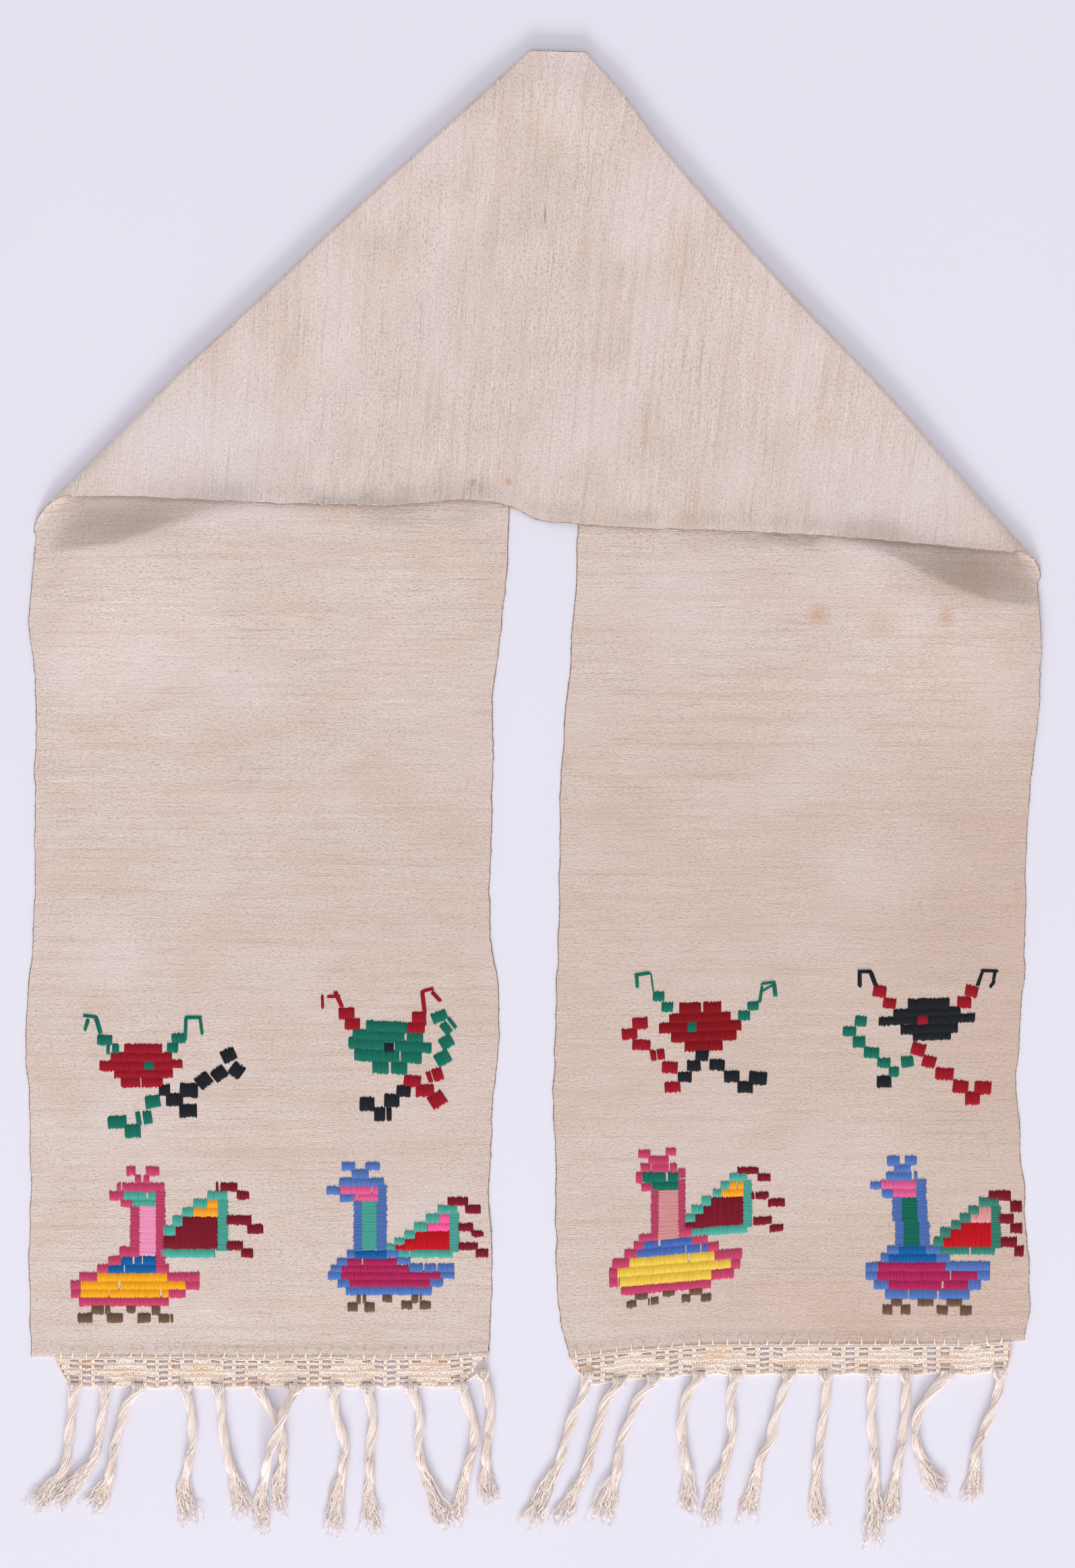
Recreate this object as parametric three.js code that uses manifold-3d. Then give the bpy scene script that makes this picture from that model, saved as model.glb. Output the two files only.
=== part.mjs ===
// A rushnyk: a long, narrow linen towel with embroidered ends, laid out on a table.
// Both ends lie side by side, and the middle is folded across above them in two diagonal folds,
// so the cloth is one strip: left leg, left fold, middle, right fold, right leg.
// Millimetres, +Z up, +Y towards the folded top. The origin is on the table, under the middle
// of the outline.
import * as THREE from 'three';
import { mergeVertices } from 'three/addons/utils/BufferGeometryUtils.js';
import Module from 'manifold-3d';

const wasm = await Module();
wasm.setup();

// Linen cloth
const clothThickness = 1.2;
const columns = 10;              // cells across the cloth
const hemDepth = 6;
const hemExtra = 1.0;            // the turned hem is that much thicker
const hemStep = 0.8;             // width of the step down from it
const layerRest = 3.0;           // middle of the upper layer above the middle of the leg below
const troughDepth = 0.9;         // soft trough beside each fold
const troughWidth = 16;
const gapSag = 1.3;              // the upper layer dips between the legs
const gapSlope = 14;             // width of each side of that dip
const gapMargin = 4;             // it starts that far from the selvedges below
const gapAtPeak = { left: -4, right: 46 };
const gapAtFoot = { left: -22, right: 38 };
const foldDepth = 7.5;           // plan radius of a fold, and its size at the shoulder
const shoulderDepth = 12;
const foldRise = 7.4;            // upright radius of a fold, and its size at the shoulder
const shoulderRise = 9.6;
const shoulderStart = 0.7;       // share of the cloth's width where a fold starts to grow
const slopeWidth = 52;           // the upper layer comes down from a fold over that width
const fanRows = 8;
const rollSteps = 6;
const middleRows = 20;

// Crochet edging
const seatGap = 0.3;
const laceThickness = 1.6;
const laceDepth = 24.6;
const weldDistance = 1e-4;
const holeWidth = 6.8;
const holeHeight = 2.7;
const holeRow = 4.85;            // from one row of holes to the next
const firstHoleRow = 2.8;        // from the hem to the middle of the first row of holes
const holesInRow = [5, 3, 1, 3, 5];
const holeEdge = 1.2;            // least width of crochet left round a hole
const holeUneven = 0.2;
const cornerApart = 5;           // least distance between two corners of a lace's edge

// Tassels
const headWidth = 11;
const headHeight = 6.4;
const headLength = 7;
const headRings = [
  { at: 0, size: 0.8 },
  { at: 0.35, size: 1 },
  { at: 0.8, size: 0.92 },
];
const headLean = 0.14;           // share of a cord's lean that it has at the foot of its head
const plyWidth = 4.6;            // each of the two plies of a cord
const plyTurn = 24;              // length in which the plies change places
const plyLobe = 0.42;            // half the height of a ply, and of the waist, as shares of its width
const plyWaist = 0.3;
const ringStep = 6;
const strandWidth = 2.2;
const strandHeight = 2.2;
const strandLengths = [1, 0.86, 0.92, 0.78];   // as shares of the fray's length
const strandsInFray = strandLengths.length;
const strandRoot = 1.4;          // length of a strand that is fused into its cord
const rootPitch = 2.3;
const rootLift = 1.0;            // the fused end lies that far above the table
const strandSteps = 3;
const strandTaper = 0.7;
const strandWave = 1.1;
const strandWaves = 1.2;
const carryUp = [0.08, 0.3];     // shares of a cord's length where it climbs over its neighbour
const carryDown = [0.8, 1];

// The selvedges of each leg, from the hem up to where the middle covers it
const leftLeg = [
  { innerX: -37.7, innerY: -437.6, outerX: -432.7, outerY: -437.6 },
  { innerX: -36.5, innerY: -391.2, outerX: -433.8, outerY: -391.2 },
  { innerX: -39.4, innerY: -344.8, outerX: -432.1, outerY: -344.8 },
  { innerX: -37.7, innerY: -298.4, outerX: -432.7, outerY: -298.4 },
  { innerX: -35.4, innerY: -252.0, outerX: -433.8, outerY: -252.0 },
  { innerX: -30.7, innerY: -205.6, outerX: -436.7, outerY: -205.6 },
  { innerX: -31.9, innerY: -159.2, outerX: -433.8, outerY: -159.2 },
  { innerX: -38.3, innerY: -112.8, outerX: -429.8, outerY: -112.8 },
  { innerX: -37.7, innerY: -43.2, outerX: -428.6, outerY: -43.2 },
  { innerX: -36.0, innerY: 26.4, outerX: -428.6, outerY: 26.4 },
  { innerX: -35.4, innerY: 96.0, outerX: -427.5, outerY: 76.0 },
  { innerX: -27.0, innerY: 162.0, outerX: -429.8, outerY: 118.0 },
  { innerX: -22.6, innerY: 223.6, outerX: -432.7, outerY: 151.0 },
];
const rightLeg = [
  { innerX: 22.6, innerY: -444.0, outerX: 425.7, outerY: -430.0 },
  { innerX: 19.7, innerY: -397.0, outerX: 423.4, outerY: -384.0 },
  { innerX: 19.1, innerY: -351.0, outerX: 420.5, outerY: -336.0 },
  { innerX: 19.1, innerY: -305.0, outerX: 417.0, outerY: -289.0 },
  { innerX: 16.8, innerY: -259.0, outerX: 414.1, outerY: -243.0 },
  { innerX: 18.6, innerY: -212.0, outerX: 417.0, outerY: -197.0 },
  { innerX: 19.7, innerY: -165.0, outerX: 420.5, outerY: -152.0 },
  { innerX: 21.5, innerY: -118.0, outerX: 421.7, outerY: -107.0 },
  { innerX: 22.6, innerY: -47.0, outerX: 422.8, outerY: -38.0 },
  { innerX: 23.8, innerY: 23.0, outerX: 427.5, outerY: 28.0 },
  { innerX: 29.6, innerY: 96.0, outerX: 433.3, outerY: 78.0 },
  { innerX: 34.8, innerY: 160.0, outerX: 434.0, outerY: 108.0 },
  { innerX: 38.5, innerY: 229.4, outerX: 435.6, outerY: 131.0 },
];

// The lower edge of each hem, from the inner selvedge out, at columns of the cloth
const leftHem = hemLine(-39.5, -432.1, [
  { column: 0, y: -475.5 },
  { column: 1, y: -478.9 },
  { column: 5, y: -479.3 },
  { column: 10, y: -478.2 },
]);
const rightHem = hemLine(31.3, 421.1, [
  { column: 0, y: -479.4 },
  { column: 1, y: -473.9 },
  { column: 3, y: -468.2 },
  { column: 9, y: -467.6 },
  { column: 10, y: -464.3 },
]);

// The outline along each fold, from the peak down to the shoulder
const leftCrest = [
  { x: -4.6, y: 642.4 },
  { x: -82.4, y: 571.6 },
  { x: -159.5, y: 502.0 },
  { x: -232.6, y: 432.4 },
  { x: -308.6, y: 362.8 },
  { x: -377.6, y: 293.2 },
  { x: -418.8, y: 251.4 },
];
const rightCrest = [
  { x: 46.4, y: 640.0 },
  { x: 76.6, y: 605.8 },
  { x: 101.5, y: 571.6 },
  { x: 160.1, y: 502.0 },
  { x: 222.7, y: 432.4 },
  { x: 289.4, y: 362.8 },
  { x: 352.6, y: 293.2 },
  { x: 393.2, y: 246.8 },
  { x: 430.4, y: 205.6 },
];

// The lower selvedge of the middle, from shoulder to shoulder
const lowerEdge = [
  { x: -396.0, y: 263.0 },
  { x: -351.5, y: 261.3 },
  { x: -312.6, y: 259.0 },
  { x: -239.0, y: 255.5 },
  { x: -134.6, y: 252.6 },
  { x: -12.0, y: 248.5 },
  { x: 1.2, y: 242.0 },
  { x: 40.0, y: 237.0 },
  { x: 178.6, y: 230.6 },
  { x: 254.0, y: 226.5 },
  { x: 329.4, y: 220.1 },
  { x: 410.0, y: 214.0 },
];

// The leg humps up along a line in front of each fold's mouth and dips behind it
const leftHump = [
  { x: -424.0, y: 216.0, height: 4.0 },
  { x: -351.5, y: 223.6, height: 7.5 },
  { x: -312.6, y: 237.5, height: 6.0 },
  { x: -280.1, y: 248.0, height: 3.2 },
  { x: -240.0, y: 256.0, height: 0.8 },
];
const rightHump = [
  { x: 424.0, y: 168.0, height: 4.0 },
  { x: 388.6, y: 172.6, height: 8.0 },
  { x: 348.0, y: 188.8, height: 8.0 },
  { x: 305.1, y: 213.2, height: 5.0 },
  { x: 259.3, y: 224.2, height: 1.5 },
];
const humpFront = 34;            // width of a hump's front and back
const humpBack = 17;
const humpSlack = 0.3;           // the upper layer stands off a hump by that share of it

const smooth = (from, to, value) => THREE.MathUtils.smoothstep(value, from, to);
const mix = THREE.MathUtils.lerp;

function hemLine(innerX, outerX, corners) {
  return corners.map(({ column, y }) => {
    return { x: innerX + ((outerX - innerX) * column) / columns, y };
  });
}

// The value of one column of a table at a place in another column, straight between its rows
function lookup(table, byColumn, column, place) {
  const rising = table[0][byColumn] < table[table.length - 1][byColumn];
  const rows = rising ? table : [...table].reverse();
  const next = rows.findIndex((row) => row[byColumn] >= place);
  if (next === 0) return rows[0][column];
  if (next < 0) return rows[rows.length - 1][column];
  const before = rows[next - 1];
  const after = rows[next];
  const share = (place - before[byColumn]) / (after[byColumn] - before[byColumn]);
  return mix(before[column], after[column], share);
}

// Height of a hump at a point of the table plane
function humpHeight(hump, x, y) {
  const ends = hump.map((row) => row.x).sort((a, b) => a - b);
  const along = THREE.MathUtils.clamp(x, ends[0], ends[ends.length - 1]);
  const crestY = lookup(hump, 'x', 'y', along);
  const height = lookup(hump, 'x', 'height', along);
  const width = y < crestY ? humpFront : humpBack;
  const away = Math.hypot(x - along, y - crestY) / width;
  return height * Math.exp(-away * away);
}

// Middle of the lower layer above the table
function lowerHeight(x, y) {
  return clothThickness / 2 + humpHeight(leftHump, x, y) + humpHeight(rightHump, x, y);
}

// A fold: its crest in plan, the way in from it, and how far the selvedges slide round it
function makeFold(crest, inwardX, peakSlide, shoulderSlide) {
  const curve = new THREE.CatmullRomCurve3(crest.map((row) => new THREE.Vector3(row.x, row.y, 0)));
  const ends = new THREE.Vector3().subVectors(curve.getPoint(1), curve.getPoint(0)).normalize();
  const inward = new THREE.Vector3(-ends.y, ends.x, 0);
  if (inward.x * inwardX < 0) inward.negate();
  return { curve, length: curve.getLength(), inward, peakSlide, shoulderSlide };
}
const leftFold = makeFold(leftCrest, 1, 6.5, 28);
const rightFold = makeFold(rightCrest, -1, 8, 20);

const shoulderShare = (across) => smooth(shoulderStart, 1, across);
const planRadius = (across) => mix(foldDepth, shoulderDepth, shoulderShare(across));
const uprightRadius = (across) => mix(foldRise, shoulderRise, shoulderShare(across));

// A point of a fold, at an angle of 0 on the leg's side and pi on the middle's side
function rollPoint(fold, angle, across) {
  const slide = mix(fold.peakSlide, fold.shoulderSlide, across);
  const distance = fold.length * across + Math.cos(angle) * slide;
  const share = THREE.MathUtils.clamp(distance / fold.length, 0, 1);
  const point = fold.curve.getPointAt(share);
  point.addScaledVector(fold.curve.getTangentAt(share), distance - share * fold.length);
  return point.addScaledVector(fold.inward, planRadius(across) * (1 - Math.sin(angle)));
}

function rollRow(fold, angle) {
  return row((across) => {
    const point = rollPoint(fold, angle, across);
    const foot = rollPoint(fold, 0, across);
    const top = rollPoint(fold, Math.PI, across);
    const turned = (1 - Math.cos(angle)) / 2;
    const base = mix(lowerHeight(foot.x, foot.y), lowerHeight(top.x, top.y), turned);
    point.z = base + 2 * uprightRadius(across) * turned;
    return point;
  });
}

// One row of points from the inner selvedge to the outer one
function row(pointAt) {
  return Array.from({ length: columns + 1 }, (_, i) => pointAt(i / columns));
}

function straightRow(ends) {
  return row((across) => {
    const x = mix(ends.innerX, ends.outerX, across);
    const y = mix(ends.innerY, ends.outerY, across);
    return new THREE.Vector3(x, y, lowerHeight(x, y));
  });
}

function hemRow(hem, above) {
  const inner = hem[0].x;
  const outer = hem[hem.length - 1].x;
  return row((across) => {
    const x = mix(inner, outer, across);
    return new THREE.Vector3(x, lookup(hem, 'x', 'y', x) + above, clothThickness / 2);
  });
}

// The rows of a leg, from its hem to the foot of its fold
function legRows(leg, hem, fold) {
  const rows = [hemRow(hem, 0), hemRow(hem, hemDepth), hemRow(hem, hemDepth + hemStep)];
  rows.push(...leg.map(straightRow));
  const last = leg[leg.length - 1];
  for (let i = 1; i < fanRows; i++) {
    rows.push(row((across) => {
      const foot = rollPoint(fold, 0, across);
      const x = mix(mix(last.innerX, last.outerX, across), foot.x, i / fanRows);
      const y = mix(mix(last.innerY, last.outerY, across), foot.y, i / fanRows);
      return new THREE.Vector3(x, y, lowerHeight(x, y));
    }));
  }
  return rows;
}

// Depth of the dip between the legs, at a point of the middle
function dipBetweenLegs(x, across) {
  const left = mix(gapAtPeak.left, gapAtFoot.left, across) + gapMargin;
  const right = mix(gapAtPeak.right, gapAtFoot.right, across) - gapMargin;
  return gapSag * smooth(left, left + gapSlope, x) * (1 - smooth(right - gapSlope, right, x));
}

// The rows of the middle, from the top of the left fold to the top of the right one
function middleRowsBetween(left, right) {
  const rows = [];
  for (let i = 1; i < middleRows; i++) {
    const share = (1 - Math.cos((Math.PI * i) / middleRows)) / 2;
    rows.push(row((across) => {
      const from = rollPoint(left, Math.PI, across);
      const to = rollPoint(right, Math.PI, across);
      const outerFrom = rollPoint(left, Math.PI, 1);
      const outerTo = rollPoint(right, Math.PI, 1);
      const edgeX = mix(outerFrom.x, outerTo.x, share);
      const bow = lookup(lowerEdge, 'x', 'y', edgeX) - mix(outerFrom.y, outerTo.y, share);
      const x = mix(from.x, to.x, share);
      const y = mix(from.y, to.y, share) + bow * across;
      const span = from.distanceTo(to);
      const fromLeft = share * span * Math.abs(left.inward.x);
      const fromRight = (1 - share) * span * Math.abs(right.inward.x);
      const clearOf = (distance) => smooth(0, slopeWidth, distance);
      const raised = 1 - clearOf(fromLeft) * clearOf(fromRight);
      const trough = (distance) => Math.exp(-(((distance - slopeWidth) / troughWidth) ** 2));
      const troughs = troughDepth * (trough(fromLeft) + trough(fromRight)) * (1 - raised);
      const lift = mix(layerRest, 2 * uprightRadius(across), raised) - troughs;
      const dip = dipBetweenLegs(x, across) * (1 - raised);
      const below = lowerHeight(x, y);
      const slack = humpSlack * (below - clothThickness / 2);
      return new THREE.Vector3(x, y, below + slack + lift - dip);
    }));
  }
  return rows;
}

function foldRows(fold, towardsTop) {
  const angles = Array.from({ length: rollSteps + 1 }, (_, i) => (Math.PI * i) / rollSteps);
  const rows = angles.map((angle) => rollRow(fold, angle));
  return towardsTop ? rows : rows.reverse();
}

// A closed sheet round a grid of points of its middle surface
function sheetSolid(rows, extraAt) {
  const count = rows.length;
  const wide = rows[0].length;
  const positions = [];
  const along = new THREE.Vector3();
  const across = new THREE.Vector3();
  const faces = [[], []];
  rows.forEach((points, r) => points.forEach((point, c) => {
    const before = rows[Math.max(r - 1, 0)][c];
    const after = rows[Math.min(r + 1, count - 1)][c];
    along.subVectors(after, before);
    across.subVectors(points[Math.min(c + 1, wide - 1)], points[Math.max(c - 1, 0)]);
    const normal = new THREE.Vector3().crossVectors(along, across).normalize();
    const half = clothThickness / 2;
    faces[0].push(point.clone().addScaledVector(normal, half + extraAt(r)));
    faces[1].push(point.clone().addScaledVector(normal, -half));
  }));
  [...faces[0], ...faces[1]].forEach((point) => positions.push(point.x, point.y, point.z));
  const index = [];
  const at = (side, r, c) => side * count * wide + r * wide + c;
  const quad = (a, b, c, d) => index.push(a, b, c, a, c, d);
  for (let r = 0; r < count - 1; r++) {
    for (let c = 0; c < wide - 1; c++) {
      quad(at(0, r, c), at(0, r, c + 1), at(0, r + 1, c + 1), at(0, r + 1, c));
      quad(at(1, r, c), at(1, r + 1, c), at(1, r + 1, c + 1), at(1, r, c + 1));
    }
    quad(at(0, r, 0), at(0, r + 1, 0), at(1, r + 1, 0), at(1, r, 0));
    quad(at(0, r, wide - 1), at(1, r, wide - 1), at(1, r + 1, wide - 1), at(0, r + 1, wide - 1));
  }
  for (let c = 0; c < wide - 1; c++) {
    quad(at(0, 0, c), at(1, 0, c), at(1, 0, c + 1), at(0, 0, c + 1));
    quad(at(0, count - 1, c), at(0, count - 1, c + 1), at(1, count - 1, c + 1), at(1, count - 1, c));
  }
  const geometry = new THREE.BufferGeometry();
  geometry.setAttribute('position', new THREE.Float32BufferAttribute(positions, 3));
  geometry.setIndex(index);
  return facingOut(geometry);
}

// Turns a closed geometry's faces out where they face in
function facingOut(geometry) {
  const position = geometry.attributes.position;
  const index = geometry.index.array;
  const corner = [0, 1, 2].map(() => new THREE.Vector3());
  let volume = 0;
  for (let i = 0; i < index.length; i += 3) {
    corner.forEach((point, k) => point.fromBufferAttribute(position, index[i + k]));
    volume += corner[0].dot(corner[1].cross(corner[2]));
  }
  if (volume < 0) {
    for (let i = 0; i < index.length; i += 3) {
      [index[i], index[i + 1]] = [index[i + 1], index[i]];
    }
  }
  return geometry;
}

function clothGeometry() {
  const leftRows = legRows(leftLeg, leftHem, leftFold);
  const rightRows = legRows(rightLeg, rightHem, rightFold).reverse();
  const rows = [
    ...leftRows,
    ...foldRows(leftFold, true),
    ...middleRowsBetween(leftFold, rightFold),
    ...foldRows(rightFold, false),
    ...rightRows,
  ];
  const last = rows.length - 1;
  return sheetSolid(rows, (r) => (r < 2 || r > last - 2 ? hemExtra : 0));
}

// Crochet edgings: where each one runs along its hem, and the middles of its groups of holes
const laces = {
  left: {
    hem: leftHem,
    topFrom: -410.6, topTo: -41.8, bottomFrom: -398.5, bottomTo: -62.1,
    groups: [-384.5, -318.5, -252.5, -189.0, -122.5, -57.0],
    holePitch: 10.7,
  },
  right: {
    hem: rightHem,
    topFrom: 31.8, topTo: 408.9, bottomFrom: 48.1, bottomTo: 405.4,
    groups: [53.0, 120.0, 198.0, 271.5, 341.5, 411.0],
    holePitch: 11.6,
  },
};

// The edge of a lace at a distance under its hem, at x
function laceEdge(lace, x, below) {
  return lookup(lace.hem, 'x', 'y', x) - below;
}

// The corners of a lace: its hem's own corners, between its two slanting ends
function laceOutline(lace) {
  const edge = (from, to, below) => {
    const between = lace.hem.map((row) => row.x).filter((x) => x > from + cornerApart && x < to - cornerApart);
    const places = [from, ...between.sort((a, b) => a - b), to];
    return places.map((x) => new THREE.Vector2(x, laceEdge(lace, x, below)));
  };
  const top = edge(lace.topFrom, lace.topTo, seatGap);
  const bottom = edge(lace.bottomFrom, lace.bottomTo, laceDepth);
  return [...bottom, ...top.reverse()];
}

// How far a lace reaches to each side at a distance under its hem
function laceReach(lace, below) {
  const share = below / laceDepth;
  return [mix(lace.topFrom, lace.bottomFrom, share), mix(lace.topTo, lace.bottomTo, share)];
}

// The four corners of a hole, a little uneven as crochet is
function holeCorners(x, y) {
  return [[-0.5, -0.5], [-0.5, 0.5], [0.5, 0.5], [0.5, -0.5]].map(([side, up], i) => {
    const uneven = holeUneven * Math.sin(1.7 * x + 2.3 * i + y);
    return new THREE.Vector2(x + side * holeWidth, y + up * holeHeight + uneven);
  });
}

function laceGeometry(lace) {
  const shape = new THREE.Shape(laceOutline(lace));
  lace.groups.forEach((middle) => holesInRow.forEach((count, rowNumber) => {
    const below = firstHoleRow + holeRow * rowNumber;
    const [from, to] = laceReach(lace, below);
    for (let i = 0; i < count; i++) {
      const x = middle + (i - (count - 1) / 2) * lace.holePitch;
      const reach = holeWidth / 2 + 2 * holeEdge;
      if (x - reach < from || x + reach > to) continue;
      shape.holes.push(new THREE.Path(holeCorners(x, laceEdge(lace, x, below))));
    }
  }));
  return weld(new THREE.ExtrudeGeometry(shape, { depth: laceThickness, bevelEnabled: false }));
}

function weld(geometry) {
  geometry.deleteAttribute('normal');
  geometry.deleteAttribute('uv');
  return mergeVertices(geometry, weldDistance);
}

// Tassels from left to right. root is the place along the lace; mid, end and tip say how far
// the cord's middle, the cord's end and the fray's end lie to the right of it; cord and fray
// are their lengths down the page, spread is the width of the fray at its end, and over is
// how high the cord is carried over its neighbour.
const tassels = {
  left: [
    { root: -395.0, mid: -3.5, end: -7.5, tip: -33.0, cord: 68, fray: 37, spread: 9, over: 0 },
    { root: -368.3, mid: -4.5, end: -9.5, tip: -43.0, cord: 62, fray: 40, spread: 9, over: 0 },
    { root: -340.5, mid: -16.5, end: -24.5, tip: -40.0, cord: 77, fray: 29, spread: 11, over: 0 },
    { root: -299.9, mid: 6.5, end: 2.5, tip: 5.0, cord: 66, fray: 52, spread: 15, over: 0 },
    { root: -272.0, mid: 4.0, end: 11.0, tip: 21.5, cord: 70, fray: 41, spread: 12, over: 0 },
    { root: -237.2, mid: 15.5, end: 22.0, tip: 19.5, cord: 60, fray: 48, spread: 9, over: 0 },
    { root: -204.7, mid: -14.0, end: -26.0, tip: -29.5, cord: 72, fray: 52, spread: 9, over: 9.6 },
    { root: -171.7, mid: 5.0, end: 7.5, tip: 0.0, cord: 70, fray: 56, spread: 12, over: 0 },
    { root: -143.3, mid: 5.0, end: 2.0, tip: 5.0, cord: 71, fray: 53, spread: 14, over: 0 },
    { root: -106.1, mid: 9.0, end: 8.0, tip: 32.0, cord: 64, fray: 58, spread: 12, over: 0 },
    { root: -62.6, mid: 10.5, end: 5.5, tip: -5.0, cord: 71, fray: 45, spread: 10, over: 0 },
    { root: -44.5, mid: 8.0, end: 4.5, tip: 8.5, cord: 76, fray: 34, spread: 9, over: 0 },
  ],
  right: [
    { root: 45.5, mid: -10.0, end: -21.5, tip: -49.0, cord: 70, fray: 60, spread: 15, over: 0 },
    { root: 72.5, mid: -16.5, end: -27.0, tip: -51.0, cord: 77, fray: 45, spread: 11, over: 0 },
    { root: 102.1, mid: -20.0, end: -31.0, tip: -43.0, cord: 78, fray: 45, spread: 16, over: 0 },
    { root: 141.5, mid: -15.0, end: -11.0, tip: -9.5, cord: 75, fray: 42, spread: 12, over: 0 },
    { root: 173.4, mid: -4.0, end: -6.5, tip: -23.0, cord: 70, fray: 60, spread: 12, over: 0 },
    { root: 218.7, mid: -12.0, end: -25.0, tip: -35.5, cord: 76, fray: 50, spread: 14, over: 0 },
    { root: 250.6, mid: -2.5, end: -7.5, tip: -5.0, cord: 79, fray: 50, spread: 12, over: 0 },
    { root: 291.2, mid: -2.5, end: 1.0, tip: 0.5, cord: 76, fray: 70, spread: 12, over: 0 },
    { root: 319.6, mid: -1.5, end: -8.0, tip: -12.0, cord: 80, fray: 45, spread: 11, over: 0 },
    { root: 355.5, mid: -22.5, end: -24.5, tip: -4.0, cord: 64, fray: 42, spread: 12, over: 0 },
    { root: 400.0, mid: -9.0, end: -21.0, tip: -24.5, cord: 74, fray: 36, spread: 13, over: 0 },
  ],
};

// The lower outline of a lace at x, its slanting ends included
function laceUnderside(lace, x) {
  const slant = (topX, bottomX) => {
    const share = (x - topX) / (bottomX - topX);
    return mix(laceEdge(lace, topX, seatGap), laceEdge(lace, bottomX, laceDepth), share);
  };
  if (x < lace.bottomFrom) return slant(lace.topFrom, lace.bottomFrom);
  if (x > lace.bottomTo) return slant(lace.topTo, lace.bottomTo);
  return laceEdge(lace, x, laceDepth);
}

// Where a tassel's head starts, clear of the lace over its whole width
function seatUnderLace(lace, x) {
  const headTopWidth = headWidth * headRings[0].size;
  const places = Array.from({ length: 9 }, (_, i) => x + (i / 8 - 0.5) * headTopWidth);
  return Math.min(...places.map((place) => laceUnderside(lace, place))) - seatGap;
}

// A closed body through rings of points along a path. Each ring's own points are given as
// (sideways, up), and the ring is let down until it touches the path's height.
function sweep(path, ringAt) {
  const positions = [];
  const index = [];
  let size = 0;
  path.forEach((point, i) => {
    const before = path[Math.max(i - 1, 0)];
    const after = path[Math.min(i + 1, path.length - 1)];
    const heading = new THREE.Vector2(after.x - before.x, after.y - before.y).normalize();
    const ring = ringAt(i);
    const lowest = Math.min(...ring.map((corner) => corner.y));
    ring.forEach((corner) => positions.push(
      point.x - heading.y * corner.x,
      point.y + heading.x * corner.x,
      point.z + corner.y - lowest,
    ));
    size = ring.length;
  });
  for (let i = 0; i < path.length - 1; i++) {
    for (let k = 0; k < size; k++) {
      const a = i * size + k;
      const b = i * size + ((k + 1) % size);
      index.push(a, b, b + size, a, b + size, a + size);
    }
  }
  const last = (path.length - 1) * size;
  for (let k = 1; k < size - 1; k++) {
    index.push(0, k + 1, k, last, last + k, last + k + 1);
  }
  const geometry = new THREE.BufferGeometry();
  geometry.setAttribute('position', new THREE.Float32BufferAttribute(positions, 3));
  geometry.setIndex(index);
  return facingOut(geometry);
}

// Two plies side by side, as a six-cornered section with a waist
function plySection(angle) {
  const middle = new THREE.Vector2();
  const corners = [
    [1, -plyLobe], [1, plyLobe], [0, plyWaist], [-1, plyLobe], [-1, -plyLobe], [0, -plyWaist],
  ];
  return corners.map(([side, up]) => {
    return new THREE.Vector2(side * plyWidth, up * plyWidth).rotateAround(middle, angle);
  });
}

function headSection(size) {
  const width = headWidth * size;
  const height = headHeight * size;
  return [[0.5, 0.2], [0.5, 0.8], [0, 1], [-0.5, 0.8], [-0.5, 0.2], [0, 0]]
    .map(([x, y]) => new THREE.Vector2(x * width, y * height));
}

// How high a cord is carried at a share of its length, where it crosses its neighbour
function carried(over, share) {
  return over * smooth(...carryUp, share) * (1 - smooth(...carryDown, share));
}

function cordLine(tassel, start) {
  return new THREE.CatmullRomCurve3([
    start,
    new THREE.Vector3(start.x + headLean * tassel.mid, start.y - headLength, 0),
    new THREE.Vector3(start.x + tassel.mid, start.y - tassel.cord / 2, 0),
    new THREE.Vector3(start.x + tassel.end, start.y - tassel.cord, 0),
  ]);
}

function cordBody(tassel, start) {
  const line = cordLine(tassel, start);
  const headShare = headLength / line.getLength();
  const rings = Math.round((line.getLength() - headLength) / ringStep);
  const shares = headRings.map((ring) => ring.at * headShare);
  for (let i = 0; i <= rings; i++) shares.push(mix(headShare, 1, i / rings));
  const path = shares.map((share) => {
    const point = line.getPointAt(share);
    point.z = carried(tassel.over, share);
    return point;
  });
  path[1].x = start.x;             // the head hangs straight down from the lace
  return sweep(path, (i) => {
    if (i < headRings.length) return headSection(headRings[i].size);
    return plySection((Math.PI * (i - path.length + 1) * ringStep) / plyTurn);
  });
}

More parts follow.
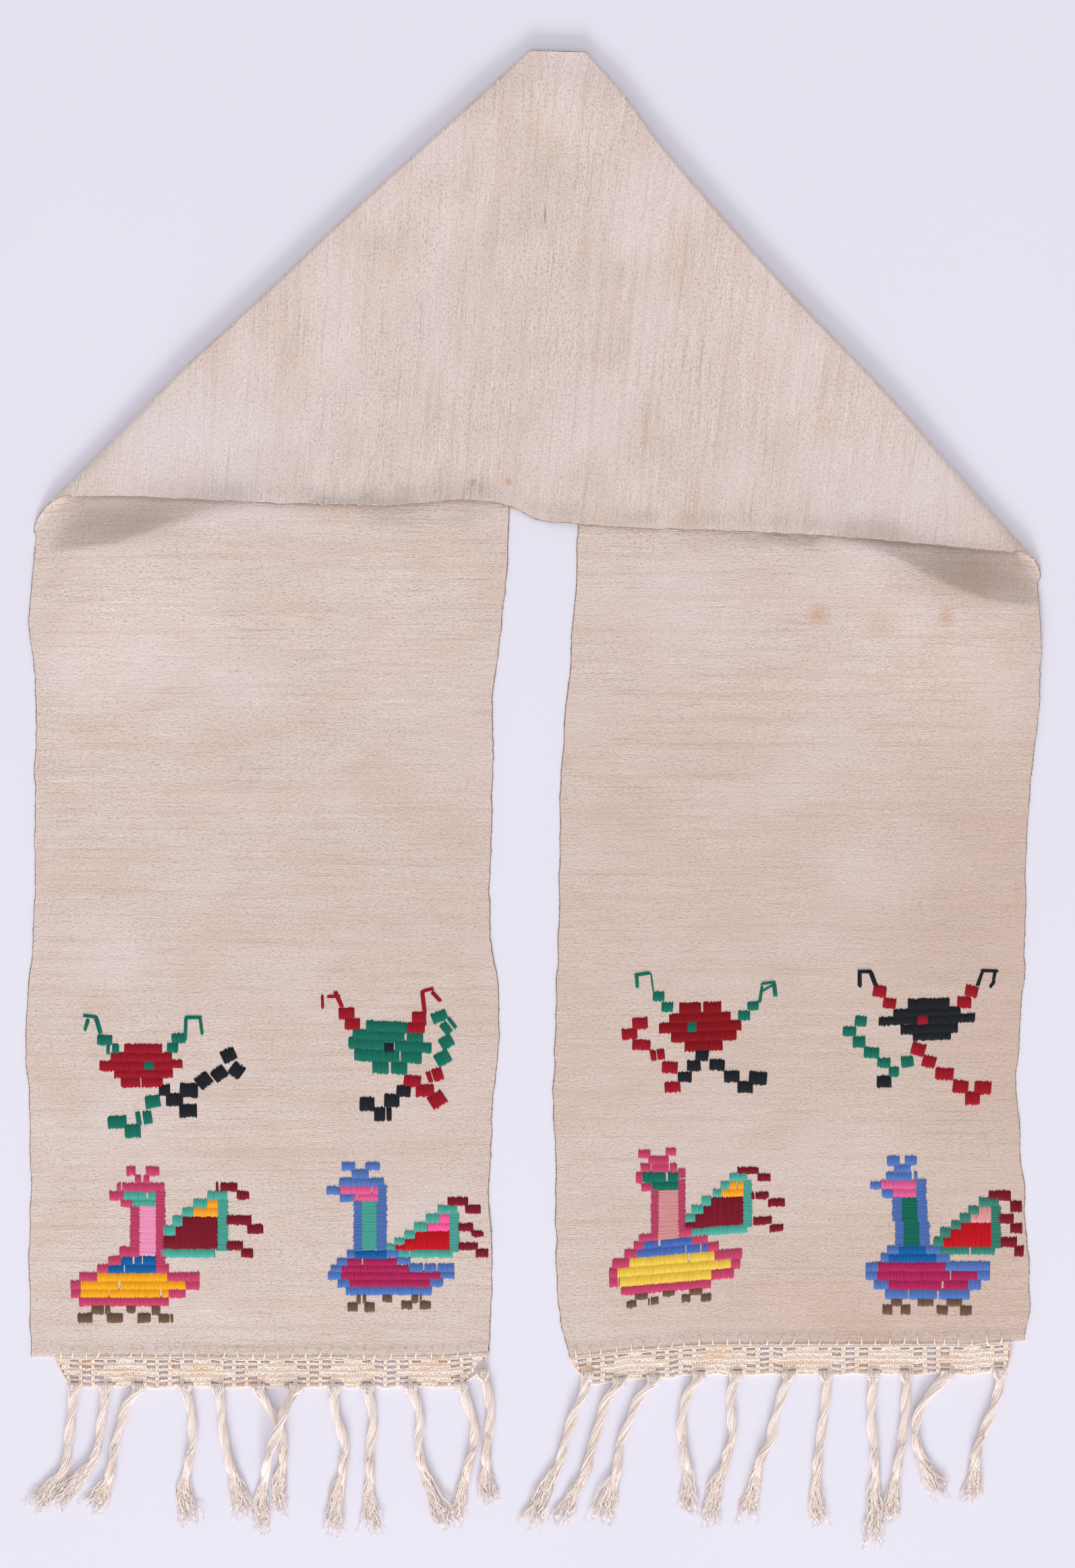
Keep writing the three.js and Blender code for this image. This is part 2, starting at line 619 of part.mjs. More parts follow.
function strandBody(tassel, start, number) {
  const side = number - (strandsInFray - 1) / 2;
  const from = new THREE.Vector3(start.x + tassel.end, start.y - tassel.cord, 0);
  const to = new THREE.Vector3(start.x + tassel.tip, from.y - tassel.fray, 0);
  const heading = new THREE.Vector3().subVectors(to, from).normalize();
  const sideways = new THREE.Vector3(-heading.y, heading.x, 0);
  const cordHeading = cordLine(tassel, start).getTangentAt(1);
  const cordSideways = new THREE.Vector3(-cordHeading.y, cordHeading.x, 0);
  const endPitch = tassel.spread / (strandsInFray - 1);
  const shorter = strandLengths[number];
  const root = from.clone().addScaledVector(cordHeading, -strandRoot);
  root.addScaledVector(cordSideways, side * rootPitch).setZ(rootLift);
  const path = [root];
  for (let i = 1; i <= strandSteps; i++) {
    const share = i / strandSteps;
    const wave = strandWave * Math.sin(2 * Math.PI * strandWaves * share + number) * share;
    const point = new THREE.Vector3().lerpVectors(from, to, share * shorter);
    point.addScaledVector(sideways, side * mix(rootPitch, endPitch, share) + wave);
    path.push(point);
  }
  return sweep(path, (i) => {
    const size = i % strandSteps ? 1 : strandTaper;
    const width = strandWidth * size;
    const height = strandHeight * size;
    return [[-0.5, 0], [0.5, 0], [0, 1]].map(([x, y]) => new THREE.Vector2(x * width, y * height));
  });
}

function toSolid(geometry) {
  return new wasm.Manifold(new wasm.Mesh({
    numProp: 3,
    vertProperties: new Float32Array(geometry.attributes.position.array),
    triVerts: new Uint32Array(geometry.index.array),
  }));
}

function fromSolid(solid) {
  const mesh = solid.getMesh();
  const geometry = new THREE.BufferGeometry();
  geometry.setAttribute('position', new THREE.BufferAttribute(mesh.vertProperties, 3));
  geometry.setIndex(new THREE.BufferAttribute(mesh.triVerts, 1));
  return geometry;
}

function tasselGeometry(tassel, lace) {
  const start = new THREE.Vector3(tassel.root, seatUnderLace(lace, tassel.root), 0);
  let solid = toSolid(cordBody(tassel, start));
  for (let number = 0; number < strandsInFray; number++) {
    solid = solid.add(toSolid(strandBody(tassel, start, number)));
  }
  return fromSolid(solid);
}

const linen = new THREE.MeshStandardMaterial({ color: 0xd9c7bd, roughness: 0.92, metalness: 0 });
const cotton = new THREE.MeshStandardMaterial({ color: 0xeedccb, roughness: 0.95, metalness: 0 });

const rushnyk = new THREE.Group();

function addPiece(name, geometry, material) {
  const mesh = new THREE.Mesh(geometry, material.clone());
  mesh.name = name;
  rushnyk.add(mesh);
}

addPiece('cloth', clothGeometry(), linen);
for (const [side, lace] of Object.entries(laces)) {
  addPiece(`lace_${side}`, laceGeometry(lace), cotton);
  tassels[side].forEach((tassel, i) => {
    const number = String(i + 1).padStart(2, '0');
    addPiece(`tassel_${side}_${number}`, tasselGeometry(tassel, lace), cotton);
  });
}

export default rushnyk;
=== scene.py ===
"""Dresses a rushnyk, a long linen towel with embroidered ends, crochet edgings and tassels.

The towel lies folded: its two ends side by side, and its middle across above them. Places are
tables in millimetres, which one function turns to metres. X runs to the right and Y towards the
folded top.
"""
import math
from collections import namedtuple

import bpy
import numpy as np
from bpy.props import FloatProperty, FloatVectorProperty, IntProperty, PointerProperty
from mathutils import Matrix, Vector


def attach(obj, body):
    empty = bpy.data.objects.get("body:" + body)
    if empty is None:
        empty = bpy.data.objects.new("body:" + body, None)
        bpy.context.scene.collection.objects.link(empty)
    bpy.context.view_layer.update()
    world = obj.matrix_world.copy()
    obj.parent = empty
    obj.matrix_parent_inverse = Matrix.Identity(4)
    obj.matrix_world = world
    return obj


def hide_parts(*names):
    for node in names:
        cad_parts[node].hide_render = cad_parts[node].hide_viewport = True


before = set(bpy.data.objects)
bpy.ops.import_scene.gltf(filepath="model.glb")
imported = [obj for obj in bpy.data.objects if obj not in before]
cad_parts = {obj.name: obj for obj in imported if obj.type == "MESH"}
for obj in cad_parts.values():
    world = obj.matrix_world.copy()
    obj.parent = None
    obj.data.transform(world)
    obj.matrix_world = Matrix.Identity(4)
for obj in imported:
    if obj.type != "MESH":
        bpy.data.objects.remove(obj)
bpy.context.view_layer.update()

bl_info = {
    "name": "Rushnyk",
    "version": (1, 0, 0),
    "blender": (4, 5, 0),
    "location": "3D View > Sidebar > Rushnyk",
    "description": "Builds a folded linen towel with embroidery, crochet edgings and tassels",
    "category": "Add Mesh",
}

MM = 0.001


def linear(hex_colour):
    """A colour given as sRGB hex, as linear red, green and blue, and opaque."""
    parts = [((hex_colour >> shift) & 255) / 255 for shift in (16, 8, 0)]
    return (*(p / 12.92 if p <= 0.04045 else ((p + 0.055) / 1.055) ** 2.4 for p in parts), 1.0)


def shade(colour, share):
    """A colour at a share of its brightness."""
    return (*(c * share for c in colour[:3]), 1.0)


def stained_or_shaded(colour, stain_and_shade):
    """A colour with shares of its red, green and blue taken away. It serves for stains, for the tone of
    single yarns and for painted shade in hollows.
    """
    return (*(c * s for c, s in zip(colour[:3], stain_and_shade)), 1.0)


# Sizes and colours that a user would change


def length(name, description, millimetres):
    """A size that a user may change."""
    return FloatProperty(name=name, description=description, default=millimetres * MM,
                         min=0.0, unit="LENGTH", precision=4)


def colour(name, description, hex_colour):
    """A colour that a user may change."""
    return FloatVectorProperty(name=name, description=description, subtype="COLOR", size=4,
                               min=0.0, max=1.0, default=linear(hex_colour))


class ClothSettings(bpy.types.PropertyGroup):
    """Sizes and colours of the linen."""
    thickness: length("Thickness", "Thickness of the linen", 1.0)
    row_step: length("Row step", "Length of a cell of the cloth along the strip", 5.0)
    columns: IntProperty(name="Columns", description="Cells across the cloth", default=72, min=8)
    hem_depth: length("Hem depth", "Depth of the turned hem", 6.0)
    linen: colour("Linen", "Colour of the linen's threads", 0xE3D2CC)
    # Towards this colour the hollows of the weave are darkened, partly as painted shade between the threads
    linen_shade: colour("Linen shade", "Colour between the threads", 0xA89286)
    # The selvedge thread is darker than the linen: partly its own denser thread, partly painted shade of
    # the dark line under the cloth's edge
    selvedge: colour("Selvedge", "Colour of the thread along the selvedges", 0xA18D7C)


class EdgingSettings(bpy.types.PropertyGroup):
    """Sizes and colours of the crochet edgings and the stitches that hold them."""
    row_pitch: length("Row pitch", "Height of a crochet row", 4.85)
    thread: length("Thread", "Thickness of the crochet cotton", 1.55)
    stitch_pitch: length("Stitch pitch", "Width of a crochet stitch", 2.3)
    overcast_pitch: length("Overcast pitch", "Distance between overcast stitches", 11.8)
    cotton: colour("Cotton", "Colour of the crochet cotton", 0xFFF0E6)
    sewing: colour("Sewing cotton", "Colour of the overcast stitches", 0xFFF2E9)


class TasselSettings(bpy.types.PropertyGroup):
    """Sizes and colours of the tassels."""
    yarn: length("Yarn", "Thickness of one yarn", 1.4)
    yarns_in_ply: IntProperty(name="Yarns in a ply", description="Yarns in each of the two plies",
                              default=12, min=3)
    half_turn: length("Half turn", "Length in which the plies change places", 28.0)
    cotton: colour("Cotton", "Colour of the tassels' yarn", 0xFFF3EE)


class ThreadSettings(bpy.types.PropertyGroup):
    """Sizes of the embroidery."""
    count: length("Count", "Width of one count of the charts", 2.4)
    pitch: length("Stitch pitch", "Distance between satin stitches", 0.8)
    width: length("Stitch width", "Width of a satin stitch", 1.8)
    height: length("Stitch height", "Height of a satin stitch above the linen", 0.4)
    overlap: length("Overlap", "How far a stitch reaches into the rows beside its own", 0.65)
    worn: FloatProperty(name="Worn", description="Share of the stitches that have worn away",
                        default=0.007, min=0.0, max=1.0, subtype="FACTOR")


class StageSettings(bpy.types.PropertyGroup):
    """Floor, light and camera."""
    floor: colour("Floor", "Colour of the floor", 0xE9E6F3)
    camera_height: length("Camera height", "Height of the camera above the floor", 2600.0)
    view_height: length("View height", "Height of the view at the floor", 1348.0)
    key: FloatProperty(name="Key light", description="Power of each of the two soft lights",
                       default=730.0, min=0.0, unit="POWER")
    sky: FloatProperty(name="Sky", description="Strength of the light from all round",
                       default=0.752, min=0.0)


# Tables of places, in millimetres

LegRow = namedtuple("LegRow", "inner_x inner_y outer_x outer_y")
Point = namedtuple("Point", "x y")
Hump = namedtuple("Hump", "x y height")
Crease = namedtuple("Crease", "x0 y0 x1 y1 height width")
Fold = namedtuple("Fold", "line reach inward peak_slide shoulder_slide")

LEFT_LEG = [
    LegRow(-39.5, -475.5, -432.1, -478.2),
    LegRow(-37.7, -437.6, -432.7, -437.6),
    LegRow(-36.5, -391.2, -433.8, -391.2),
    LegRow(-39.4, -344.8, -432.1, -344.8),
    LegRow(-37.7, -298.4, -432.7, -298.4),
    LegRow(-35.4, -252.0, -433.8, -252.0),
    LegRow(-30.7, -205.6, -436.7, -205.6),
    LegRow(-31.9, -159.2, -433.8, -159.2),
    LegRow(-38.3, -112.8, -429.8, -112.8),
    LegRow(-37.7, -43.2, -428.6, -43.2),
    LegRow(-36.0, 26.4, -428.6, 26.4),
    LegRow(-35.4, 96.0, -427.5, 76.0),
    LegRow(-27.0, 162.0, -429.8, 118.0),
    LegRow(-22.6, 223.6, -434.2, 151.0),
]
RIGHT_LEG = [
    LegRow(31.3, -479.4, 421.1, -464.3),
    LegRow(22.6, -444.0, 425.7, -430.0),
    LegRow(19.7, -397.0, 423.4, -384.0),
    LegRow(19.1, -351.0, 420.5, -336.0),
    LegRow(19.1, -305.0, 417.0, -289.0),
    LegRow(16.8, -259.0, 414.1, -243.0),
    LegRow(18.6, -212.0, 417.0, -197.0),
    LegRow(19.7, -165.0, 420.5, -152.0),
    LegRow(21.5, -118.0, 421.7, -107.0),
    LegRow(22.6, -47.0, 422.8, -38.0),
    LegRow(23.8, 23.0, 427.5, 28.0),
    LegRow(29.6, 96.0, 433.3, 78.0),
    LegRow(34.8, 160.0, 434.0, 108.0),
    LegRow(38.5, 229.4, 435.6, 131.0),
]

# The lower edges of the hems, from the left
LEFT_HEM = [
    Point(-432.1, -478.2), Point(-235.8, -479.3), Point(-78.8, -478.9), Point(-39.5, -475.5),
]
RIGHT_HEM = [
    Point(31.3, -479.4), Point(70.3, -473.9), Point(148.2, -468.2), Point(382.1, -467.6),
    Point(421.1, -464.3),
]

# The crest of each fold, from the peak down to the shoulder
LEFT_CREST = [
    Point(-4.6, 642.4), Point(-82.4, 571.6), Point(-159.5, 502.0), Point(-232.6, 432.4),
    Point(-308.6, 362.8), Point(-377.6, 293.2), Point(-419.0, 251.5),
]
RIGHT_CREST = [
    Point(46.4, 640.0), Point(76.6, 605.8), Point(101.5, 571.6), Point(160.1, 502.0),
    Point(222.7, 432.4), Point(289.4, 362.8), Point(352.6, 293.2), Point(393.2, 246.8),
    Point(429.0, 206.5),
]

# The lower selvedge of the middle, from shoulder to shoulder
LOWER_EDGE = [
    Point(-395.3, 260.4), Point(-351.5, 260.6), Point(-312.6, 259.0), Point(-239.0, 255.5),
    Point(-134.6, 252.6), Point(-12.0, 248.5), Point(1.2, 242.0), Point(40.0, 237.0),
    Point(178.6, 230.6), Point(254.0, 226.5), Point(329.4, 220.1), Point(409.5, 212.4),
]

# Where each leg humps up in front of its fold's mouth
LEFT_HUMP = [
    Hump(-436.0, 206.0, 0.2), Hump(-416.0, 212.0, 2.0), Hump(-398.0, 216.5, 8.5),
    Hump(-351.5, 223.6, 10.5), Hump(-312.6, 237.5, 7.5), Hump(-280.1, 247.5, 5.0),
    Hump(-240.0, 254.0, 2.0),
]
RIGHT_HUMP = [
    Hump(259.3, 222.0, 3.0), Hump(305.1, 211.0, 8.0), Hump(348.0, 188.8, 12.0),
    Hump(388.6, 172.6, 12.0), Hump(418.0, 169.0, 8.0), Hump(438.0, 167.0, 2.0),
]
# Two small humps under the middle's lower edge
SMALL_HUMPS = [
    Hump(-156.0, 240.0, 0.0), Hump(-122.0, 235.0, 4.6), Hump(-92.0, 239.0, 1.6),
    Hump(-60.0, 236.0, 3.8), Hump(-34.0, 239.0, 0.4),
]

# Soft ridges, and troughs where the height is below nothing, in the legs and in the middle
LEG_CREASES = [
    Crease(339.0, -160.0, 420.0, -160.0, 0.4, 5.0),
    Crease(370.0, -210.0, 420.0, -209.0, 0.35, 5.0),
    Crease(60.0, -60.0, 240.0, -66.0, 0.2, 14.0),
    Crease(-400.0, 20.0, -210.0, 14.0, 0.2, 16.0),
    Crease(-250.0, -120.0, -60.0, -124.0, 0.2, 14.0),
]
MIDDLE_CREASES = [
    Crease(14.5, 639.0, 10.4, 603.0, -0.6, 3.0),
    Crease(-12.0, 630.0, -6.0, 580.0, -0.9, 9.0),
    Crease(-24.4, 590.0, -30.2, 480.5, 0.6, 4.5),
    Crease(-30.2, 480.5, -36.0, 332.6, 0.6, 4.5),
    Crease(-36.0, 332.6, -40.6, 254.0, 0.5, 4.5),
    Crease(-65.4, 566.3, -139.7, 492.0, -0.9, 12.0),
    Crease(-139.7, 492.0, -213.3, 403.3, -1.1, 13.0),
    Crease(-213.3, 403.3, -234.2, 367.9, -0.8, 12.0),
    Crease(-47.0, 548.0, -122.0, 474.0, 0.7, 22.0),
    Crease(-122.0, 474.0, -196.0, 386.0, 0.8, 24.0),
    Crease(120.0, 400.0, 60.0, 300.0, -0.3, 18.0),
    Crease(-145.6, 250.0, -92.2, 240.0, 1.0, 10.0),
    Crease(-77.7, 248.0, -40.0, 240.0, 0.8, 9.0),
]

# Middle of the lower layer above the table, and of the upper layer above the lower one
REST_HEIGHT = 0.6 * MM
LAYER_REST = 3.0 * MM
# Sizes of a fold at its peak, along it and at its shoulder, and the shares across between them
FOLD_DEPTH = (1.6 * MM, 2.4 * MM, 11 * MM)
FOLD_RISE = (2.2 * MM, 3.3 * MM, 3.0 * MM)
PEAK_END = 0.12
SHOULDER_START = 0.7
# How far the folds' slopes reach into the middle, at the peak and at the foot, and the trough there
LEFT_SLOPE = (60 * MM, 110 * MM)
RIGHT_SLOPE = (75 * MM, 120 * MM)
TROUGH_DEPTH = 0.3 * MM
TROUGH_WIDTH = 13 * MM
# The humps' reach in front and behind, how sharply they break off, and what the middle adds
HUMP_FRONT = 105 * MM
HUMP_BACK = 14 * MM
HUMP_BREAK = 1.1
HUMP_SLACK = 0.3
# The dip of the middle between the legs, from left to right in millimetres
GAP_SAG = 1.3 * MM
GAP_SLOPE = 14 * MM
GAP_AT_PEAK = (0.0, 42.0)
GAP_AT_FOOT = (-18.0, 34.0)
# The middle's lower edge: its lift and waviness, its unevenness, and the shares across they start at
EDGE_LIFT = 1.1 * MM
EDGE_WAVE = 0.7
EDGE_LIFT_FROM = 0.955
EDGE_UNEVEN = 0.4 * MM
EDGE_UNEVEN_FROM = 0.9
# Soft waves in the legs, which end under the middle, and in the middle
LEG_WAVE = 0.22 * MM
LEG_RIPPLE = 0.07 * MM
LEG_WAVES_END = (260 * MM, 180 * MM)
MIDDLE_WAVE = 0.25 * MM
MIDDLE_RIPPLE = 0.05 * MM
DEEPEST_CREASE = -1.2 * MM
# The hem's bow fades out over this share of the leg's width
BOW_REACH = 0.2
# The hems' extra height, and how the strip thins towards its two ends
HEM_RISE = 0.9 * MM
END_THIN = 0.5 * MM
END_REACH = 2.5 * MM
# The selvedges' unevenness, and the thread along them
SELVEDGE_UNEVEN = 0.55 * MM
SELVEDGE_OUT = 0.25 * MM
SELVEDGE_DROP = 0.3 * MM
SELVEDGE_STEP = 1.3 * MM
SELVEDGE_BUMP = 0.16 * MM
SELVEDGE_RADII = (0.3 * MM, 0.65 * MM)
SELVEDGE_LOWEST = 0.55 * MM
# Rows of the cloth's cells, steps of a fold's line and of its ends, and how far the columns crowd
# towards the selvedges
MIDDLE_ROWS = 170
FAN_ROWS = 44
ROLL_ROWS = 14
FOLD_STEPS = 400
END_STEPS = 4
CROWDING = 0.55
# Keeps the flat cloth clear of the place where its patterns start
FLAT_SHIFT = 0.8


# Small tools for numbers and meshes


def metres(rows):
    """A table of millimetres as an array of metres."""
    return np.array(rows, float) * MM


def mix(a, b, share):
    """A value at a share of the way between two others."""
    return a + (b - a) * share


def smooth(start, end, value):
    """A share that eases from 0 at the start to 1 at the end."""
    share = np.clip((value - start) / (end - start), 0, 1)
    return share * share * (3 - 2 * share)


def smooth_through(places, values, at):
    """Values of a smooth curve through a table's rows, at other places."""
    slopes = np.gradient(values, places)
    at = np.clip(at, places[0], places[-1])
    i = np.clip(np.searchsorted(places, at) - 1, 0, len(places) - 2)
    width = places[i + 1] - places[i]
    t = (at - places[i]) / width
    return ((2 * t ** 3 - 3 * t ** 2 + 1) * values[i] + (t ** 3 - 2 * t ** 2 + t) * width * slopes[i]
            + (3 * t ** 2 - 2 * t ** 3) * values[i + 1] + (t ** 3 - t ** 2) * width * slopes[i + 1])


def reach_along(line):
    """Distance from a line's first point to each of its points."""
    return np.concatenate([[0], np.cumsum(np.linalg.norm(np.diff(line, axis=0), axis=1))])


def waves(seed, count, shortest, longest, dims=2):
    """A smooth random field: a function of places in metres that stays within about -1 and 1."""
    rng = np.random.default_rng(seed)
    lengths = rng.uniform(shortest, longest, count)
    angles = rng.uniform(0, 2 * math.pi, count)
    phases = rng.uniform(0, 2 * math.pi, count)
    along = 2 * math.pi / lengths * np.cos(angles)
    up = 2 * math.pi / lengths * np.sin(angles)
    if dims == 1:
        along, up = 2 * math.pi / lengths, np.zeros(count)

    def field(x, y=0.0):
        total = 0.0
        for i in range(count):
            total = total + np.sin(x * along[i] + y * up[i] + phases[i])
        return total / math.sqrt(count)

    return field


class Parts:
    """Collects the vertices and faces of many small bodies, to be joined in one mesh."""

    def __init__(self):
        self.points, self.quads, self.maps, self.tones, self.slots = [], [], [], [], []
        self.count = 0

    def add(self, points, quads, maps, tone=0.5, slot=0):
        """Adds points and their faces. A triangle is a quad whose last corner is there twice."""
        points = np.asarray(points).reshape(-1, 3)
        quads = np.asarray(quads).reshape(-1, 4)
        self.points.append(points)
        self.quads.append(quads + self.count)
        self.maps.append(np.asarray(maps).reshape(-1, 2))
        self.tones.append(np.broadcast_to(tone, len(points)))
        self.slots.append(np.broadcast_to(slot, len(quads)))
        self.count += len(points)

    def tubes(self, paths, radii, sides=5, flat=1.0, tone=0.5, slot=0):
        """Closed tubes along paths that have equal numbers of points."""
        paths = np.asarray(paths, float)
        if paths.ndim == 2:
            paths = paths[None]
        bodies, rings, _ = paths.shape
        radii = np.broadcast_to(radii, (bodies, rings))
        heading = np.gradient(paths, axis=1)
        heading /= np.linalg.norm(heading, axis=2, keepdims=True) + 1e-12
        side = np.cross([0.0, 0.0, 1.0], heading)
        wide = np.linalg.norm(side, axis=2, keepdims=True)
        side = np.where(wide < 1e-3, [1.0, 0.0, 0.0], side / (wide + 1e-12))
        top = np.cross(heading, side)
        angle = 2 * math.pi * np.arange(sides) / sides + math.pi / 2
        across = np.cos(angle)[None, None, :, None] * side[:, :, None]
        up = flat * np.sin(angle)[None, None, :, None] * top[:, :, None]
        points = paths[:, :, None] + radii[:, :, None, None] * (across + up)
        run = np.cumsum(np.linalg.norm(np.diff(paths, axis=1, prepend=paths[:, :1]), axis=2), axis=1)
        maps = np.empty((bodies, rings, sides, 2))
        maps[..., 0] = np.arange(sides) / sides
        maps[..., 1] = run[:, :, None]
        i, j = np.meshgrid(np.arange(rings - 1), np.arange(sides), indexing="ij")
        nxt = (j + 1) % sides
        walls = np.stack([i * sides + j, i * sides + nxt, (i + 1) * sides + nxt, (i + 1) * sides + j], -1)
        caps = []
        last = (rings - 1) * sides
        for k in range(1, sides - 1):
            caps.append([0, k + 1, k, k])
            caps.append([last, last + k, last + k + 1, last + k + 1])
        quads = np.concatenate([walls.reshape(-1, 4), np.array(caps)])
        quads = quads[None] + (np.arange(bodies) * rings * sides)[:, None, None]
        tone = np.repeat(np.broadcast_to(tone, bodies), rings * sides)
        self.add(points, quads, maps, tone, np.repeat(np.broadcast_to(slot, bodies), len(quads[0])))

    def build(self, name, materials, slot, sharp_from=None):
        """The joined mesh as a piece of the towel, shaded smooth up to an angle."""
        points = np.concatenate(self.points)
        quads = np.concatenate(self.quads)
        maps = np.concatenate(self.maps)
        tones = np.concatenate(self.tones)
        flats = quads[:, 2] == quads[:, 3]
        sizes = np.where(flats, 3, 4)
        keep = np.ones_like(quads, bool)
        keep[flats, 3] = False
        corners = quads[keep]
        mesh = bpy.data.meshes.new(name)
        mesh.vertices.add(len(points))
        mesh.vertices.foreach_set("co", points.astype(np.float32).ravel())
        mesh.loops.add(len(corners))
        mesh.loops.foreach_set("vertex_index", corners.astype(np.int32))
        mesh.polygons.add(len(sizes))
        starts = np.concatenate([[0], np.cumsum(sizes)[:-1]])
        mesh.polygons.foreach_set("loop_start", starts.astype(np.int32))
        mesh.polygons.foreach_set("material_index", np.concatenate(self.slots).astype(np.int32))
        mesh.update(calc_edges=True)
        layer = mesh.uv_layers.new(name="flat")
        layer.data.foreach_set("uv", maps[corners].astype(np.float32).ravel())
        tone = mesh.attributes.new("tone", "FLOAT", "POINT")
        tone.data.foreach_set("value", tones.astype(np.float32))
        mesh.shade_smooth()
        if sharp_from:
            mesh.set_sharp_from_angle(angle=sharp_from)
        mesh.validate()
        for material in materials:
            mesh.materials.append(material)
        piece = bpy.data.objects.new(name, mesh)
        bpy.context.scene.collection.objects.link(piece)
        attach(piece, "root")
        return piece


# The folded strip: every place of the cloth is known by its row and by its share across

leg_waves = waves(3, 9, 60 * MM, 220 * MM)
small_waves = waves(5, 12, 14 * MM, 40 * MM)
middle_waves = waves(11, 10, 50 * MM, 190 * MM)
edge_uneven = waves(23, 12, 12 * MM, 60 * MM, dims=1)
edge_waves = waves(29, 9, 25 * MM, 110 * MM, dims=1)


def lower_height(x, y):
    """Middle of the lower layer above the table."""
    total = REST_HEIGHT
    for hump in map(metres, (LEFT_HUMP, RIGHT_HUMP, SMALL_HUMPS)):
        along = np.clip(x, hump[0, 0], hump[-1, 0])
        crest_y = smooth_through(hump[:, 0], hump[:, 1], along)
        height = smooth_through(hump[:, 0], hump[:, 2], along)
        away = np.hypot(x - along, y - crest_y)
        # The cloth eases up in front and breaks off behind, where the mouth is in shade
        gentle = np.exp(-(away / HUMP_FRONT) ** 2)
        steep = np.exp(-(away / HUMP_BACK) ** HUMP_BREAK)
        total = total + height * np.where(y < crest_y, gentle, steep)
    return total


def crease_height(creases, x, y):
    """Height of soft ridges and troughs, which fade out at both ends."""
    total = 0.0
    for x0, y0, x1, y1, height, width in metres(creases):
        run = np.array([x1 - x0, y1 - y0])
        share = np.clip(((x - x0) * run[0] + (y - y0) * run[1]) / (run @ run), 0, 1)
        away = np.hypot(x - x0 - share * run[0], y - y0 - share * run[1])
        total = total + height * np.exp(-(away / width) ** 2)
    return total


def leg_height(x, y):
    """Middle of a leg above the table, with its creases and waves."""
    clear = smooth(*LEG_WAVES_END, y)
    loose = LEG_WAVE * (1 + leg_waves(x, y)) + LEG_RIPPLE * small_waves(x, y)
    return lower_height(x, y) + clear * (loose + crease_height(LEG_CREASES, x, y))


def make_fold(crest, inward_x, peak_slide, shoulder_slide):
    """A fold's line in fine steps, and the way from it to the middle of the towel."""
    points = metres(crest)
    reach = reach_along(points)
    fine = np.linspace(0, reach[-1], FOLD_STEPS)
    line = np.stack([smooth_through(reach, points[:, i], fine) for i in (0, 1)], 1)
    run = line[-1] - line[0]
    inward = np.array([-run[1], run[0]]) / np.hypot(*run)
    if inward[0] * inward_x < 0:
        inward = -inward
    return Fold(line, reach_along(line), inward, peak_slide * MM, shoulder_slide * MM)


LEFT_FOLD = make_fold(LEFT_CREST, inward_x=1, peak_slide=2.0, shoulder_slide=23)
RIGHT_FOLD = make_fold(RIGHT_CREST, inward_x=-1, peak_slide=3.0, shoulder_slide=17)


def by_shoulder(sizes, across):
    """A fold's size, which is small at the peak and grows towards the shoulder."""
    at_peak, along, at_shoulder = sizes
    size = mix(at_peak, along, smooth(0, PEAK_END, across))
    return mix(size, at_shoulder, smooth(SHOULDER_START, 1, across))


def roll_point(fold, angle, across):
    """Plan of a fold's rows: angle 0 is on the leg's side, and pi on the middle's side."""
    line, reach = fold.line, fold.reach
    distance = reach[-1] * across + np.cos(angle) * mix(fold.peak_slide, fold.shoulder_slide, across)
    held = np.clip(distance, 0, reach[-1])
    plan = np.stack([np.interp(held, reach, line[:, i]) for i in (0, 1)], 1)
    first = (line[END_STEPS] - line[0]) / reach[END_STEPS]
    final = (line[-1] - line[-1 - END_STEPS]) / (reach[-1] - reach[-1 - END_STEPS])
    over = (distance - held)[:, None]
    plan += np.where(over < 0, over * first, over * final)
    return plan + (by_shoulder(FOLD_DEPTH, across) * (1 - np.sin(angle)))[:, None] * fold.inward


def mirrored(plan, fold):
    """The plan's points as if the fold were opened out again."""
    away = (plan - fold.line[0]) @ fold.inward
    return plan - 2 * away[:, None] * fold.inward


def leg_rows(leg, hem, across, step, seed):
    """Plan of a leg's rows, from its hem to where the middle covers it."""
    rows, edge = metres(leg), metres(hem)
    middle_y = (rows[:, 1] + rows[:, 3]) / 2
    at = np.linspace(middle_y[0], middle_y[-1], int((middle_y[-1] - middle_y[0]) / step) + 1)
    inner_x, inner_y, outer_x, outer_y = (smooth_through(middle_y, rows[:, i], at) for i in range(4))
    uneven = [waves(seed + k, 14, 9 * MM, 70 * MM, dims=1)(at) for k in (0, 1)]
    width = rows[0, 2] - rows[0, 0]
    inner_x = inner_x - math.copysign(SELVEDGE_UNEVEN, width) * uneven[0]
    outer_x = outer_x + math.copysign(SELVEDGE_UNEVEN, width) * uneven[1]
    for i, y in enumerate(at):
        x = mix(inner_x[i], outer_x[i], across)
        bow = np.interp(x, edge[:, 0], edge[:, 1]) - mix(inner_y[0], outer_y[0], across)
        fade = 1 - smooth(0, BOW_REACH * abs(width), y - at[0])
        yield np.stack([x, mix(inner_y[i], outer_y[i], across) + bow * fade], 1)


def dip_between_legs(x, across):
    """How far the middle sags between the legs."""
    left = mix(GAP_AT_PEAK[0], GAP_AT_FOOT[0], across) * MM
    right = mix(GAP_AT_PEAK[1], GAP_AT_FOOT[1], across) * MM
    return GAP_SAG * smooth(left, left + GAP_SLOPE, x) * (1 - smooth(right - GAP_SLOPE, right, x))


